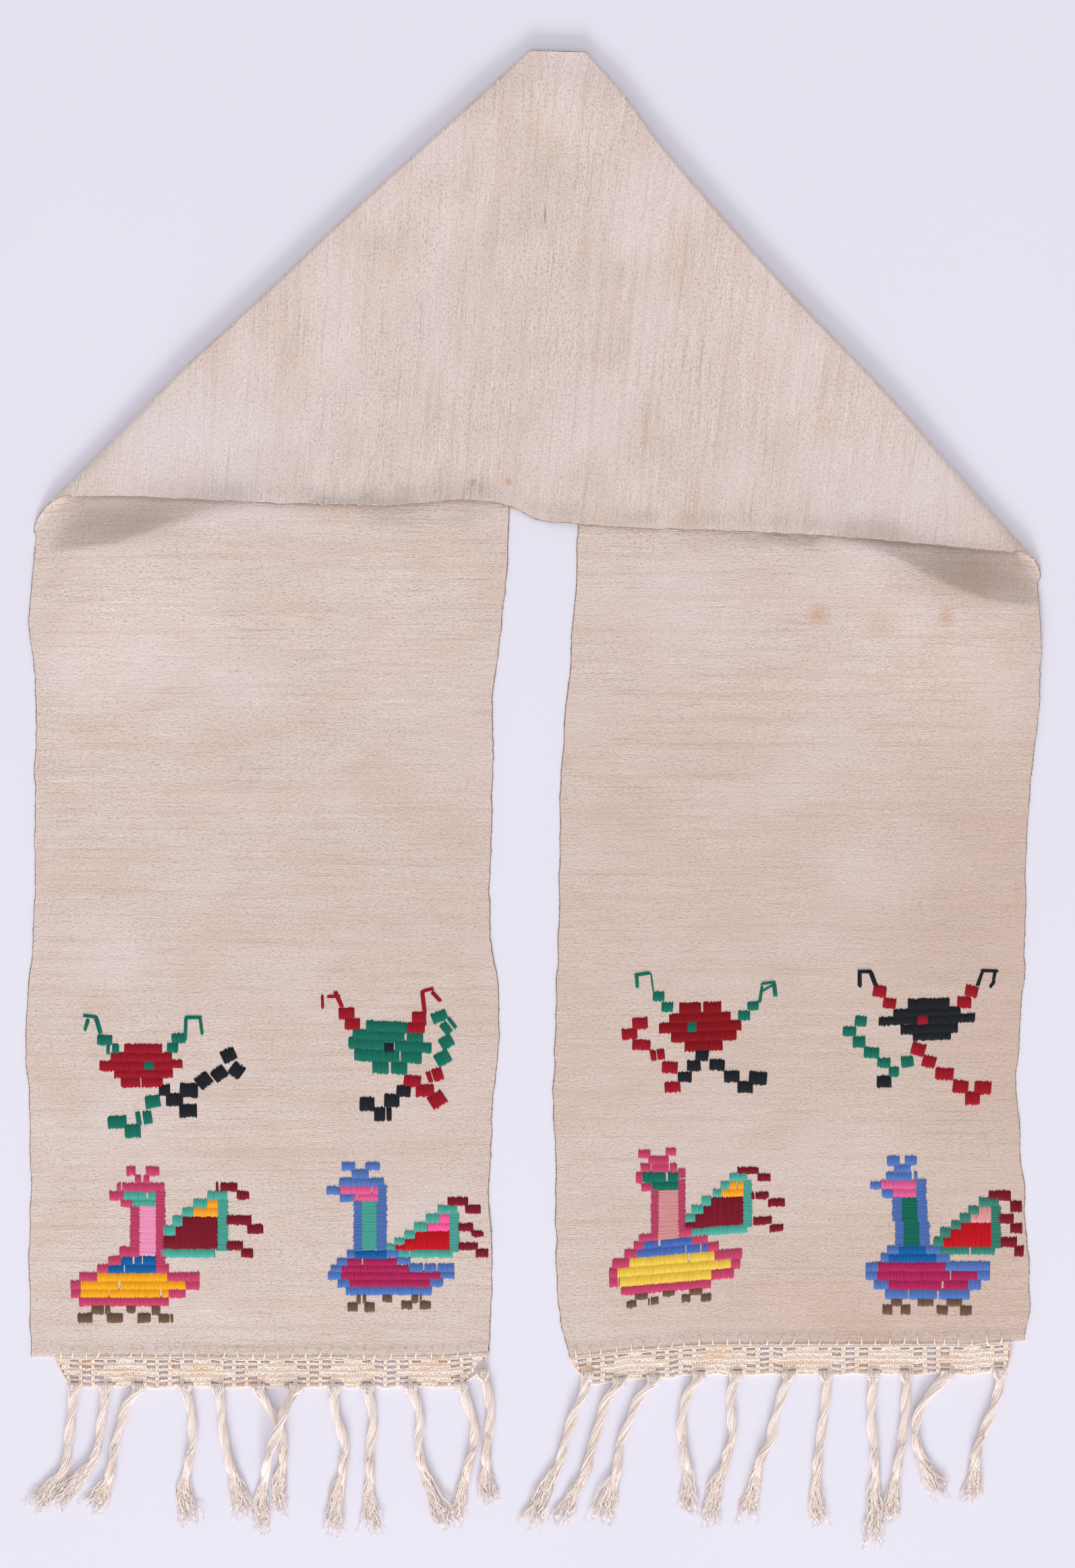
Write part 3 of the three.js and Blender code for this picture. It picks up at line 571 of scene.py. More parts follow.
def middle_row(share, across):
    """One row of the middle, at a share of the way from the left fold to the right one."""
    start = roll_point(LEFT_FOLD, math.pi, across)
    end = roll_point(RIGHT_FOLD, math.pi, across)
    edge = metres(LOWER_EDGE)
    plan = mix(start, end, share)
    bow = smooth_through(edge[:, 0], edge[:, 1], plan[-1, 0]) - plan[-1, 1]
    plan[:, 1] += bow * across
    plan[:, 1] += EDGE_UNEVEN * edge_uneven(plan[:, 0]) * smooth(EDGE_UNEVEN_FROM, 1, across)
    span = np.hypot(*(end - start).T)
    from_left = share * span * abs(LEFT_FOLD.inward[0])
    from_right = (1 - share) * span * abs(RIGHT_FOLD.inward[0])
    left_slope, right_slope = mix(*LEFT_SLOPE, across), mix(*RIGHT_SLOPE, across)
    raised = 1 - smooth(0, left_slope, from_left) * smooth(0, right_slope, from_right)
    x, y = plan.T
    below = lower_height(x, y)
    height = below + mix(LAYER_REST, 2 * by_shoulder(FOLD_RISE, across), raised)
    trough = TROUGH_DEPTH * np.exp(-((from_left - left_slope) / TROUGH_WIDTH) ** 2)
    lifted = EDGE_LIFT * smooth(EDGE_LIFT_FROM, 1, across) * (1 + EDGE_WAVE * edge_waves(x))
    creases = crease_height(MIDDLE_CREASES, x, y) + MIDDLE_WAVE * middle_waves(x, y)
    creases = np.maximum(creases + MIDDLE_RIPPLE * small_waves(x, y), DEEPEST_CREASE)
    slack = HUMP_SLACK * (below - REST_HEIGHT)
    resting = slack + lifted + creases - trough - dip_between_legs(x, across)
    return np.column_stack([plan, height + resting * (1 - raised)])


def leg_and_roll(leg, hem, fold, across, step, seed):
    """Rows from a hem to the upper side of its fold, each with its plan as if opened out."""
    plans = list(leg_rows(leg, hem, across, step, seed))
    last, foot = plans[-1], roll_point(fold, 0, across)
    plans += [mix(last, foot, i / FAN_ROWS) for i in range(1, FAN_ROWS)]
    found = [(np.column_stack([plan, leg_height(*plan.T)]), plan) for plan in plans]
    top = roll_point(fold, math.pi, across)
    open_top = mirrored(top, fold)
    for i in range(ROLL_ROWS + 1):
        angle = math.pi * i / ROLL_ROWS
        turned = (1 - math.cos(angle)) / 2
        base = mix(lower_height(*foot.T), lower_height(*top.T), turned)
        height = base + 2 * by_shoulder(FOLD_RISE, across) * turned
        points = np.column_stack([roll_point(fold, angle, across), height])
        found.append((points, mix(foot, open_top, i / ROLL_ROWS)))
    return found


def strip_rows(settings):
    """All rows of the cloth, and the flat place of every point, for the weave."""
    ease = np.linspace(0, 1, settings.columns + 1)
    across = mix(ease, smooth(0, 1, ease), CROWDING)
    left = leg_and_roll(LEFT_LEG, LEFT_HEM, LEFT_FOLD, across, settings.row_step, 31)
    right = leg_and_roll(RIGHT_LEG, RIGHT_HEM, RIGHT_FOLD, across, settings.row_step, 41)
    half = middle_row(0.5, across)[:, :2]
    shift = (mirrored(half, LEFT_FOLD) + mirrored(half, RIGHT_FOLD)).mean(axis=0)
    strip = left
    for i in range(1, MIDDLE_ROWS):
        share = i / MIDDLE_ROWS
        points = middle_row(share, across)
        plan = points[:, :2]
        by_left, by_right = mirrored(plan, LEFT_FOLD), shift - mirrored(plan, RIGHT_FOLD)
        strip.append((points, mix(by_left, by_right, smooth(0, 1, share))))
    # The right leg lies turned about in the opened strip
    strip += [(points, shift - flat) for points, flat in reversed(right)]
    rows, flats = map(np.array, zip(*strip))
    return rows, flats + FLAT_SHIFT


def cloth_parts(settings):
    """The cloth as one closed sheet, with its ends turned up as hems."""
    rows, flats = strip_rows(settings)
    count, wide, _ = rows.shape
    normal = np.cross(np.gradient(rows, axis=0), np.gradient(rows, axis=1))
    normal /= np.linalg.norm(normal, axis=2, keepdims=True)
    from_start = reach_along(rows[:, wide // 2])
    from_end = np.minimum(from_start, from_start[-1] - from_start)
    turned = 1 - smooth(settings.hem_depth * 0.85, settings.hem_depth * 1.15, from_end)
    thin = 1 - smooth(0, END_REACH, from_end)
    half = settings.thickness / 2
    top = rows + normal * (half + HEM_RISE * turned - END_THIN * thin)[:, None, None]
    bottom = rows - normal * half
    points = np.concatenate([top.reshape(-1, 3), bottom.reshape(-1, 3)])
    maps = np.concatenate([flats.reshape(-1, 2)] * 2)

    def at(side, r, c):
        return side * count * wide + r * wide + c

    r, c = np.meshgrid(np.arange(count - 1), np.arange(wide - 1), indexing="ij")
    upper = np.stack([at(0, r, c), at(0, r, c + 1), at(0, r + 1, c + 1), at(0, r + 1, c)], -1)
    lower = np.stack([at(1, r, c), at(1, r + 1, c), at(1, r + 1, c + 1), at(1, r, c + 1)], -1)
    r, c = np.arange(count - 1), np.arange(wide - 1)
    w, n = wide - 1, count - 1
    rims = [
        np.stack([at(0, r, 0), at(0, r + 1, 0), at(1, r + 1, 0), at(1, r, 0)], -1),
        np.stack([at(0, r, w), at(1, r, w), at(1, r + 1, w), at(0, r + 1, w)], -1),
        np.stack([at(0, 0, c), at(1, 0, c), at(1, 0, c + 1), at(0, 0, c + 1)], -1),
        np.stack([at(0, n, c), at(0, n, c + 1), at(1, n, c + 1), at(1, n, c)], -1),
    ]
    quads = np.concatenate([upper.reshape(-1, 4), lower.reshape(-1, 4), *rims])
    parts = Parts()
    parts.add(points, quads[:, ::-1] if faces_in(points, quads) else quads, maps)
    return parts


def faces_in(points, quads):
    """Whether a closed body's faces point inwards, by the sign of its volume."""
    a, b, c, d = (points[quads[:, i]] for i in range(4))
    volume = np.einsum("ij,ij->i", a, np.cross(b, c)) + np.einsum("ij,ij->i", a, np.cross(c, d))
    return volume.sum() < 0


def selvedge_parts(settings):
    """The thicker threads along both selvedges, bumpy where the weft turns round them. Their dark colour is
    partly the thread's own and partly painted shade of the dark line under the edge.
    """
    rows, _ = strip_rows(settings)
    rng = np.random.default_rng(61)
    parts = Parts()
    for edge, inner in ((0, 1), (-1, -2)):
        outward = rows[:, edge] - rows[:, inner]
        outward /= np.linalg.norm(outward, axis=1, keepdims=True)
        line = rows[:, edge] + outward * SELVEDGE_OUT - [0, 0, SELVEDGE_DROP]
        run = reach_along(line)
        at = np.arange(0, run[-1], SELVEDGE_STEP)
        path = np.stack([np.interp(at, run, line[:, i]) for i in range(3)], 1)
        path += rng.normal(0, SELVEDGE_BUMP, path.shape)
        path[:, 2] = np.maximum(path[:, 2], SELVEDGE_LOWEST)
        parts.tubes(path, rng.uniform(*SELVEDGE_RADII, len(path)), sides=4, tone=rng.uniform(0, 1))
    return parts


# Crochet edgings

# Where each edging's top and bottom start and end, the middles of its groups of open meshes, the
# distance between two meshes, and how far the braids at its two ends hang out
Edging = namedtuple("Edging", "side hem top_from top_to bottom_from bottom_to groups mesh slacks")
EDGINGS = [
    Edging("left", LEFT_HEM, -410.6, -41.8, -398.5, -62.1,
           (-384.5, -318.5, -252.5, -189.0, -122.5, -57.0), 10.7, (1.5, 7.0)),
    Edging("right", RIGHT_HEM, 31.8, 408.9, 48.1, 405.4,
           (53.0, 120.0, 198.0, 271.5, 341.5, 411.0), 11.6, (1.5, 1.5)),
]
# The open meshes of a group in each row, the edging's start below the hem, and an opening's width
HOLES_IN_ROW = (5, 3, 1, 3, 5)
EDGING_TOP = 0.4 * MM
OPENING = 7.1 * MM
# How far the first line strays up and down, and each lower line more, in millimetres
LINE_STRAY = 0.2
MORE_STRAY = 0.05
# The cores of thread inside the bars and the runs of posts
CORE_MIDDLE = 1.3 * MM
CORE_FLAT = 0.85
CORE_STEP = 3 * MM
CORE_INSET = 0.3 * MM
# Strokes of thread over the cores: their scatter, arch, and share of the radius along them
STROKE_SCATTER = 0.16 * MM
STROKE_ARCH = 0.4 * MM
STROKE_TAPER = np.array([0.75, 1.05, 1.05, 0.7])
# Chain stitches: width of the bar, their height above the table, their run and rise, how far they
# lie to each side of the bar's middle, and their radius as a share of the thread's thickness
CHAIN_HEIGHT = 2.2 * MM
CHAIN_TOP = 1.7 * MM
CHAIN_RUN = 2.2 * MM
CHAIN_RISE = 0.9 * MM
CHAIN_SHIFT = 0.55 * MM
CHAIN_THREAD = 0.42
# Posts: length between the bars, height above the table, how far they reach over the bars, and lean
POST_HEIGHT = 3.1 * MM
POST_TOP = 1.9 * MM
POST_REACH = 1.6 * MM
POST_LEAN = 1.5 * MM
# Threads that hang across some of the open meshes
LOOSE_SHARE = 0.5
LOOSE_RADIUS = 0.5 * MM
# The braids at the edging's ends: turns, strands, and the strands' thickness
BRAID_TURNS = 5
BRAID_STRANDS = 3
BRAID_RADIUS = 0.55 * MM
# Overcast stitches: how far the first and the last one are from the edging's ends, their scatter,
# how far below the hem they start, and their radius
OVERCAST_ENDS = (3 * MM, 2 * MM)
OVERCAST_SCATTER = 1.2 * MM
OVERCAST_BELOW = 2.2 * MM
OVERCAST_RADIUS = 0.7 * MM
# Places along them and their height above the linen's middle there in millimetres, and places along
# them and their share of the radius there
OVERCAST_RISE = ([0, 0.18, 0.34, 0.8, 0.92, 1], [0.5, 1.0, 1.8, 1.6, 1.1, 0.3])
OVERCAST_TAPER = ([0, 0.4, 0.8, 1], [1.0, 1.15, 1.05, 0.75])
# The thread between them: its steps, how far below the hem's edge it lies, waves, height and radius
RUNNING_STEP = 1.6 * MM
RUNNING_BELOW = 1.8 * MM
RUNNING_WAVE = 0.35 * MM
RUNNING_HEIGHT = 2.3 * MM
RUNNING_RADIUS = 0.5 * MM
# First seeds of the random draws
EDGING_SEED = 70
OVERCAST_SEED = 80


def hem_y(edging, x):
    """Where a hem's lower edge lies."""
    edge = metres(edging.hem)
    return np.interp(x, edge[:, 0], edge[:, 1])


def edging_reach(edging, below, depth):
    """How far an edging reaches to each side, at a distance below its hem."""
    share = below / depth
    return (mix(edging.top_from, edging.bottom_from, share) * MM,
            mix(edging.top_to, edging.bottom_to, share) * MM)


def openings(edging, holes):
    """Middles of a row's open meshes."""
    reach = (holes - 1) // 2
    return [(middle + k * edging.mesh) * MM for middle in edging.groups
            for k in range(-reach, reach + 1)]


class Crochet:
    """Filet crochet: bars of chain stitches, and between them rows of posts that leave the open
    meshes free. Each bar and each run of posts has a core of thread, as dense crochet has."""

    def __init__(self, edging, settings, seed):
        self.edging, self.settings = edging, settings
        self.depth = len(HOLES_IN_ROW) * settings.row_pitch
        self.rng = np.random.default_rng(seed)
        self.uneven = waves(seed, 9, 14 * MM, 60 * MM, dims=1)
        self.made = Parts()

    def below(self, line):
        """A line's distance below the hem. Each row has two lines, a bar and a run of posts."""
        return EDGING_TOP + line * self.settings.row_pitch / 2

    def line_y(self, x, line):
        """Where a line of the crochet lies."""
        stray = (LINE_STRAY + MORE_STRAY * line) * MM * self.uneven(x)
        return hem_y(self.edging, x) - self.below(line) + stray

    def core(self, start, end, line, half_height):
        """The thread inside a bar or a run of posts."""
        x = np.linspace(start, end, max(3, int((end - start) / CORE_STEP)))
        path = np.stack([x, self.line_y(x, line), np.full(len(x), CORE_MIDDLE)], 1)
        self.made.tubes(path, half_height, sides=6, flat=CORE_FLAT, tone=0.6)

    def strokes(self, x, line, run, rise, top, radius, shift=0.0):
        """Short pieces of thread, each leaning by its own run and rise."""
        rng = self.rng
        share = np.linspace(-0.5, 0.5, len(STROKE_TAPER))[None]
        x = x + rng.normal(0, STROKE_SCATTER, len(x))
        plan_x = x[:, None] + run[:, None] * share
        y = self.line_y(x, line)[:, None] + shift + rise[:, None] * share
        z = top + rng.normal(0, 0.15, (len(x), 1)) * MM + STROKE_ARCH * np.cos(share * math.pi)
        radii = radius * STROKE_TAPER * rng.uniform(0.85, 1.2, (len(x), 1))
        self.made.tubes(np.stack([plan_x, y, z], -1), radii, sides=4, tone=rng.uniform(0, 1, len(x)))

    def bar(self, start, end, line):
        """A bar of chain stitches, whose two sides slant towards each other."""
        self.core(start, end, line, CHAIN_HEIGHT / 2)
        for side in (-1, 1):
            x = np.arange(start, end, self.settings.stitch_pitch)
            rise = side * CHAIN_RISE * self.rng.uniform(0.5, 1.5, len(x))
            self.strokes(x, line, np.full(len(x), CHAIN_RUN), rise, CHAIN_TOP,
                         self.settings.thread * CHAIN_THREAD, side * CHAIN_SHIFT)

    def posts(self, left, right, line):
        """A run of posts, which lean to the one side and the other by turns."""
        self.core(left + CORE_INSET, right - CORE_INSET, line, POST_HEIGHT / 2)
        count = max(2, round((right - left) / self.settings.stitch_pitch))
        x = left + (right - left) * (np.arange(count) + 0.5) / count
        lean = POST_LEAN * np.where(np.arange(count) % 2, 1, -1) * self.rng.uniform(0.3, 1, count)
        rise = (POST_HEIGHT + POST_REACH) * self.rng.uniform(0.8, 1.1, count)
        self.strokes(x, line, lean, rise, POST_TOP, self.settings.thread / 2)

    def loose_thread(self, x, line):
        """A thread that hangs across an open mesh."""
        bow = self.rng.uniform(-0.6, 0.9) * MM
        share = np.linspace(-0.6, 0.6, 5)
        y = self.line_y(x, line) - bow * np.cos(2.6 * share)
        path = np.stack([x + OPENING * share, y, np.full(len(share), CORE_MIDDLE)], 1)
        self.made.tubes(path, LOOSE_RADIUS, sides=4, tone=self.rng.uniform(0, 1))

    def braid(self, end, top, bottom, slack):
        """The strands that turn round each other along one end of the edging."""
        share = np.linspace(0, 1, 40)
        for strand in range(BRAID_STRANDS):
            turn = 2 * math.pi * (share * BRAID_TURNS + strand / BRAID_STRANDS)
            out = end * (0.6 + slack * np.sin(share * math.pi)) + 0.9 * np.sin(turn)
            x = (mix(top, bottom, share) + out) * MM
            y = hem_y(self.edging, x) - self.depth * share
            path = np.stack([x, y, CORE_MIDDLE + 0.8 * MM * np.cos(turn)], 1)
            self.made.tubes(path, BRAID_RADIUS, sides=4, tone=0.3 * strand)

    def parts(self):
        """The whole edging, from its top line to its bottom line."""
        edging = self.edging
        for line in range(2 * len(HOLES_IN_ROW) + 1):
            start, end = edging_reach(edging, self.below(line), self.depth)
            if line % 2 == 0:
                self.bar(start, end, line)
                continue
            middles = [x for x in openings(edging, HOLES_IN_ROW[line // 2])
                       if start + OPENING / 2 < x < end - OPENING / 2]
            walls = [start, *(x + side * OPENING / 2 for x in middles for side in (-1, 1)), end]
            for left, right in zip(walls[::2], walls[1::2]):
                self.posts(left, right, line)
            for x in middles:
                if self.rng.random() < LOOSE_SHARE:
                    self.loose_thread(x, line)
        self.braid(-1, edging.top_from, edging.bottom_from, edging.slacks[0])
        self.braid(1, edging.top_to, edging.bottom_to, edging.slacks[1])
        return self.made


def overcast_parts(edging, settings, seed):
    """The stitches over a hem, and the thread that runs along its edge between them."""
    rng = np.random.default_rng(seed)
    parts = Parts()
    start, end = edging.top_from * MM, edging.top_to * MM
    x = np.arange(start + OVERCAST_ENDS[0], end - OVERCAST_ENDS[1], settings.overcast_pitch)
    x = x + rng.normal(0, OVERCAST_SCATTER, len(x))
    tall = rng.uniform(5.6, 8.2, (len(x), 1)) * MM
    lean = rng.normal(-0.5, 0.7, (len(x), 1)) * MM
    share = np.linspace(0, 1, 9)[None]
    y = hem_y(edging, x)[:, None] - OVERCAST_BELOW + (tall + OVERCAST_BELOW) * share
    plan_x = x[:, None] + 2 * lean * (1 - share) ** 2
    height = leg_height(plan_x, y) + np.interp(share, *OVERCAST_RISE) * MM
    thick = OVERCAST_RADIUS * np.interp(share, *OVERCAST_TAPER)
    parts.tubes(np.stack([plan_x, y, height], -1), thick * rng.uniform(0.8, 1.15, (len(x), 1)),
                tone=rng.uniform(0.5, 1, len(x)))
    run = np.arange(start, end, RUNNING_STEP)
    bob = waves(seed, 8, 6 * MM, 24 * MM, dims=1)
    y = hem_y(edging, run) - RUNNING_BELOW + RUNNING_WAVE * bob(run)
    path = np.stack([run, y, np.full(len(run), RUNNING_HEIGHT)], 1)
    parts.tubes(path, RUNNING_RADIUS, sides=4)
    return parts


# Tassels

# Where a tassel's root lies along the edging, and how far to the right of it the middle of the cord
# is at its quarter, half, three quarters and end, in the middle of the frayed end and at its tip.
# Then the lengths of the cord and of the frayed end, how wide that spreads, and how much the cord
# rises over a cord that it crosses.
Tassel = namedtuple("Tassel", "root quarter half late end fray tip cord loose spread over")
TASSELS = {
    "left": [
        Tassel(-395.0, -1.7, -3.5, -5.2, -7.5, -20.0, -33.0, 68, 37, 14, 0),
        Tassel(-368.3, -1.2, -3.4, -5.6, -9.5, -26.0, -43.0, 62, 40, 16, 0),
        Tassel(-340.5, -10.4, -16.3, -20.9, -24.5, -31.0, -40.0, 77, 29, 15, 0),
        Tassel(-299.9, 4.0, 6.6, 6.4, 2.5, -2.0, 5.0, 66, 52, 17, 0),
        Tassel(-272.0, 2.9, 4.0, 7.5, 11.0, 17.0, 21.5, 70, 41, 13, 0),
        Tassel(-237.2, 7.5, 16.0, 21.5, 21.6, 17.4, 19.0, 60, 48, 11, 0),
        Tassel(-204.7, -8.7, -14.0, -21.3, -25.8, -29.5, -29.0, 72, 52, 11, 7.6),
        Tassel(-171.7, 0.3, 4.8, 9.4, 7.3, 1.7, 0.0, 70, 56, 12, 0),
        Tassel(-143.3, 3.5, 5.1, 1.9, 1.9, 2.5, 5.0, 71, 53, 14, 0),
        Tassel(-106.1, 5.8, 8.8, 6.6, 8.3, 18.0, 32.0, 64, 58, 13, 0),
        Tassel(-62.6, 5.8, 11.6, 10.6, 5.6, 0.0, -5.0, 71, 45, 12, 0),
        Tassel(-44.5, 5.4, 7.2, 4.4, 3.0, 3.0, 7.5, 76, 34, 12, 0),
    ],
    "right": [
        Tassel(45.5, -3.4, -11.6, -17.0, -22.0, -36.0, -49.0, 70, 60, 16, 0),
        Tassel(72.5, -11.0, -17.0, -23.0, -28.0, -39.4, -51.5, 77, 45, 13, 0),
        Tassel(102.1, -13.0, -20.6, -28.6, -30.8, -38.0, -43.0, 78, 45, 18, 0),
        Tassel(141.5, -10.0, -14.6, -14.2, -11.4, -9.0, -9.5, 75, 42, 13, 0),
        Tassel(173.4, -4.4, -4.0, -2.6, -7.2, -18.5, -23.0, 70, 60, 13, 0),
        Tassel(218.7, -5.8, -12.0, -15.8, -25.0, -31.0, -35.5, 76, 50, 15, 0),
        Tassel(250.6, 0.5, -2.4, -4.8, -7.5, -9.0, -5.0, 79, 50, 13, 0),
        Tassel(291.2, -0.6, -2.0, 0.4, 1.4, 0.8, 0.5, 76, 70, 12, 0),
        Tassel(319.6, 0.0, -1.5, -3.8, -7.8, -10.5, -12.0, 80, 45, 12, 0),
        Tassel(355.5, -14.0, -24.0, -28.0, -26.0, -17.0, -4.0, 64, 42, 15, 0),
        Tassel(400.0, -1.5, -7.5, -15.5, -21.0, -22.5, -24.5, 74, 36, 14, 0),
    ],
}
# The head, where the yarns lie side by side: its length and width, how far inside the edging they
# start, and how much higher a tassel beside the edging starts
HEAD_LENGTH = 11 * MM
HEAD_WIDTH = 10.5 * MM
ROOT_INSIDE = 2 * MM
BESIDE_UP = 9 * MM
# The plies' distance from the cord's middle, their radius and that of their cores, how far a yarn
# turns in its ply while the plies turn once, and how flat the plies and the cord are
PLY_OFFSET = 1.5 * MM
PLY_RADIUS = 2.3 * MM
PLY_CORE = 1.7 * MM
PLY_TWIST = 0.8
PLY_FLAT = 0.7
CORD_FLAT = 0.55
CORD_MIDDLE = 3.0 * MM
# Points along a yarn and along a core, and a yarn's share of its thickness at places along it
YARN_RINGS = 40
CORE_RINGS = 32
YARN_TAPER = ([0, 0.03, 0.9, 1], [0.9, 1, 0.8, 0.35])
# The knot's loops below the root, in millimetres
KNOT_LOOPS = (2.4, 3.7, 5.0)
# Radius of the finer yarns in the frayed end, and of the single fibres at its tips
FIBRE = 0.42 * MM
WISP = 0.2 * MM
# Seeds of the random draws, to which a tassel adds its number
TASSEL_SEEDS = {"left": 100, "right": 150}


class Fringe:
    """A tassel: two plies of yarns that turn round each other, and come apart at the end."""

    def __init__(self, tassel, edging, settings, depth, seed):
        self.tassel, self.settings = tassel, settings
        self.rng = np.random.default_rng(seed)
        self.made = Parts()
        self.root = tassel.root * MM
        self.cord, self.loose = tassel.cord * MM, tassel.loose * MM
        left, right = edging_reach(edging, depth, depth)
        self.start_y = hem_y(edging, self.root) - depth
        if self.root < left or self.root > right:
            self.start_y += BESIDE_UP
        cord, loose = self.cord, self.loose
        self.places = np.array([-4 * MM, 0, cord / 4, cord / 2, cord * 0.75, cord, cord + loose / 2,
                                cord + loose])
        self.sides = np.array([0, 0, tassel.quarter, tassel.half, tassel.late, tassel.end,
                               tassel.fray, tassel.tip]) * MM

    def along(self, down, sideways, height):
        """Paths at these distances down the tassel, to the side of its middle and above the table."""
        middle = smooth_through(self.places, self.sides, down)
        heading = np.gradient(middle, axis=1) / np.gradient(down, axis=1)
        norm = np.sqrt(1 + heading ** 2)
        share = down / self.cord
        over = self.tassel.over * MM * smooth(0.08, 0.3, share) * (1 - smooth(0.8, 1.15, share))
        return np.stack([self.root + middle + sideways / norm,
                         self.start_y - down + sideways * heading / norm, height + over], -1)

    def turn(self, down, ply):
        """Angle of a ply round the cord. The plies lie side by side where the cord ends."""
        return math.pi * (down - self.cord) / self.settings.half_turn + math.pi * ply

    def released(self, down):
        """How free the yarns are of their ply, from 0 in the cord to 1 in the frayed end."""
        return smooth(-0.05, 0.35, (down - self.cord) / self.loose)

    def yarns(self):
        """The yarns, from the head along the plies to their loose ends, which are crimped."""
        rng, settings = self.rng, self.settings
        count = 2 * settings.yarns_in_ply
        lengths = self.cord + self.loose * rng.uniform(0.7, 1.04, count)
        share = np.linspace(0, 1, YARN_RINGS)
        down = -ROOT_INSIDE + (lengths[:, None] + ROOT_INSIDE) * share
        ply = np.repeat([[0], [1]], settings.yarns_in_ply, axis=0)
        place = np.tile(np.arange(settings.yarns_in_ply), 2)[:, None] / settings.yarns_in_ply * 2 * math.pi
        turn = self.turn(down, ply)
        own = place + PLY_TWIST * turn + rng.normal(0, 0.2, (count, 1))
        radius = PLY_RADIUS * rng.uniform(0.75, 1.08, (count, 1))
        sideways = PLY_OFFSET * np.cos(turn) + radius * np.cos(own)
        up = CORD_FLAT * PLY_OFFSET * np.sin(turn) + PLY_FLAT * radius * np.sin(own)
        at_head = 1 - smooth(0, HEAD_LENGTH, down)
        order = (rng.permutation(count) / (count - 1) - 0.5)[:, None]
        sideways = mix(sideways, order * HEAD_WIDTH, at_head)
        up = mix(up, 0.6 * up, at_head)
        apart = np.clip((down - self.cord) / self.loose, 0, 1.1)
        start_side = PLY_OFFSET * np.cos(math.pi * ply) + radius * np.cos(place)
        ends = 1.25 * self.tassel.spread * MM * (order + rng.normal(0, 0.08, (count, 1)))
        crimp = rng.uniform(8, 15, (count, 1)) * MM
        wave = np.sin(2 * math.pi * down / crimp + rng.uniform(0, 6.3, (count, 1)))
        long_wave = np.sin(2 * math.pi * down / (crimp * 2.3) + rng.uniform(0, 6.3, (count, 1)))
        strayed = mix(start_side, ends, np.clip(apart, 0, 1)) + (1.0 * wave + 1.9 * long_wave) * MM * apart
        released = self.released(down)
        low = 0.5 * settings.yarn + rng.uniform(0, 1.7, (count, 1)) * MM * (1 - 0.5 * apart)
        lift = mix(CORD_MIDDLE + up, low + 0.25 * MM * (1 + wave), released)
        lift = np.maximum(lift, settings.yarn * 0.5)
        paths = self.along(down, mix(sideways, strayed, released), lift)
        taper = settings.yarn / 2 * np.interp(share, *YARN_TAPER)
        self.made.tubes(paths, taper[None] * (1 + 0.08 * wave), sides=4, tone=rng.uniform(0, 1, count))
        return paths

    def cores(self):
        """The inside of the two plies, which fills what shows between the yarns."""
        down = np.tile(np.linspace(5 * MM, self.cord + 0.45 * self.loose, CORE_RINGS), (2, 1))
        free = self.released(down)
        turn = self.turn(down, np.array([[0], [1]]))
        height = mix(CORD_MIDDLE + CORD_FLAT * PLY_OFFSET * np.sin(turn), 1.2 * MM, free)
        paths = self.along(down, PLY_OFFSET * np.cos(turn), height)
        self.made.tubes(paths, PLY_CORE * (1 - 0.5 * free), sides=6, flat=0.8, tone=0.3)

    def knot(self):
        """The loops of the knot: yarns that lie across the head of the tassel."""
        share = np.linspace(-1, 1, 11)
        arc = np.sqrt(1 - 0.96 * share ** 2)
        for below in KNOT_LOOPS:
            wide = (HEAD_WIDTH / 2 + 0.6 * MM) * (1 - 0.07 * (below - KNOT_LOOPS[0]))
            y = self.start_y - below * MM - self.rng.uniform(0.2, 1.2) * MM * arc
            loop = np.stack([self.root + wide * share, y, 1.0 * MM + 2.8 * MM * arc], 1)
            self.made.tubes(loop, self.settings.yarn * 0.55, tone=self.rng.uniform(0.2, 0.8))

    def fibres(self, paths):
        """Finer yarns between the others, where the cord has come apart."""
        rng = self.rng
        count, rings, _ = paths.shape
        share = np.linspace(0, 1, rings)[None]
        side = rng.normal(0, 2.0, (count, 1)) * MM * share
        curl = np.sin(share * rng.uniform(8, 17, (count, 1)) + rng.uniform(0, 6.3, (count, 1)))
        shifted = paths.copy()
        shifted[..., 0] += side + curl * 0.9 * MM * share
        shifted[..., 1] += rng.normal(0, 2.4, (count, 1)) * MM * share
        shifted[..., 2] = np.maximum(shifted[..., 2] + rng.uniform(0.1, 0.7, (count, 1)) * MM, FIBRE)
        self.made.tubes(shifted, FIBRE * (1 - 0.5 * share ** 3), sides=3, tone=rng.uniform(0, 1, count))

    def wisps(self, paths):
        """Single fibres that fade off the ends of the yarns."""
        rng, ends = self.rng, paths[:, -1]
        run = ends - paths[:, -5]
        run /= np.linalg.norm(run, axis=1, keepdims=True)
        side = np.stack([-run[:, 1], run[:, 0], 0 * run[:, 0]], 1)[:, None]
        share = np.linspace(0, 1, 5)[None, :, None]
        for _ in range(2):
            reach = rng.uniform(2, 7, (len(ends), 1, 1)) * MM
            curl = rng.normal(0, 1.6, (len(ends), 1, 1)) * MM
            fibres = ends[:, None] + run[:, None] * reach * share + side * curl * share ** 2
            fibres[..., 2] = mix(np.maximum(fibres[..., 2], FIBRE), 0.3 * MM, share[..., 0])
            self.made.tubes(fibres, WISP * (1 - 0.6 * share[..., 0]), sides=3,
                            tone=rng.uniform(0.4, 1, len(ends)))

    def parts(self):
        """The whole tassel."""
        paths = self.yarns()
        self.cores()
        self.knot()
        self.fibres(paths[:, YARN_RINGS // 2:])
        self.wisps(paths)
        return self.made


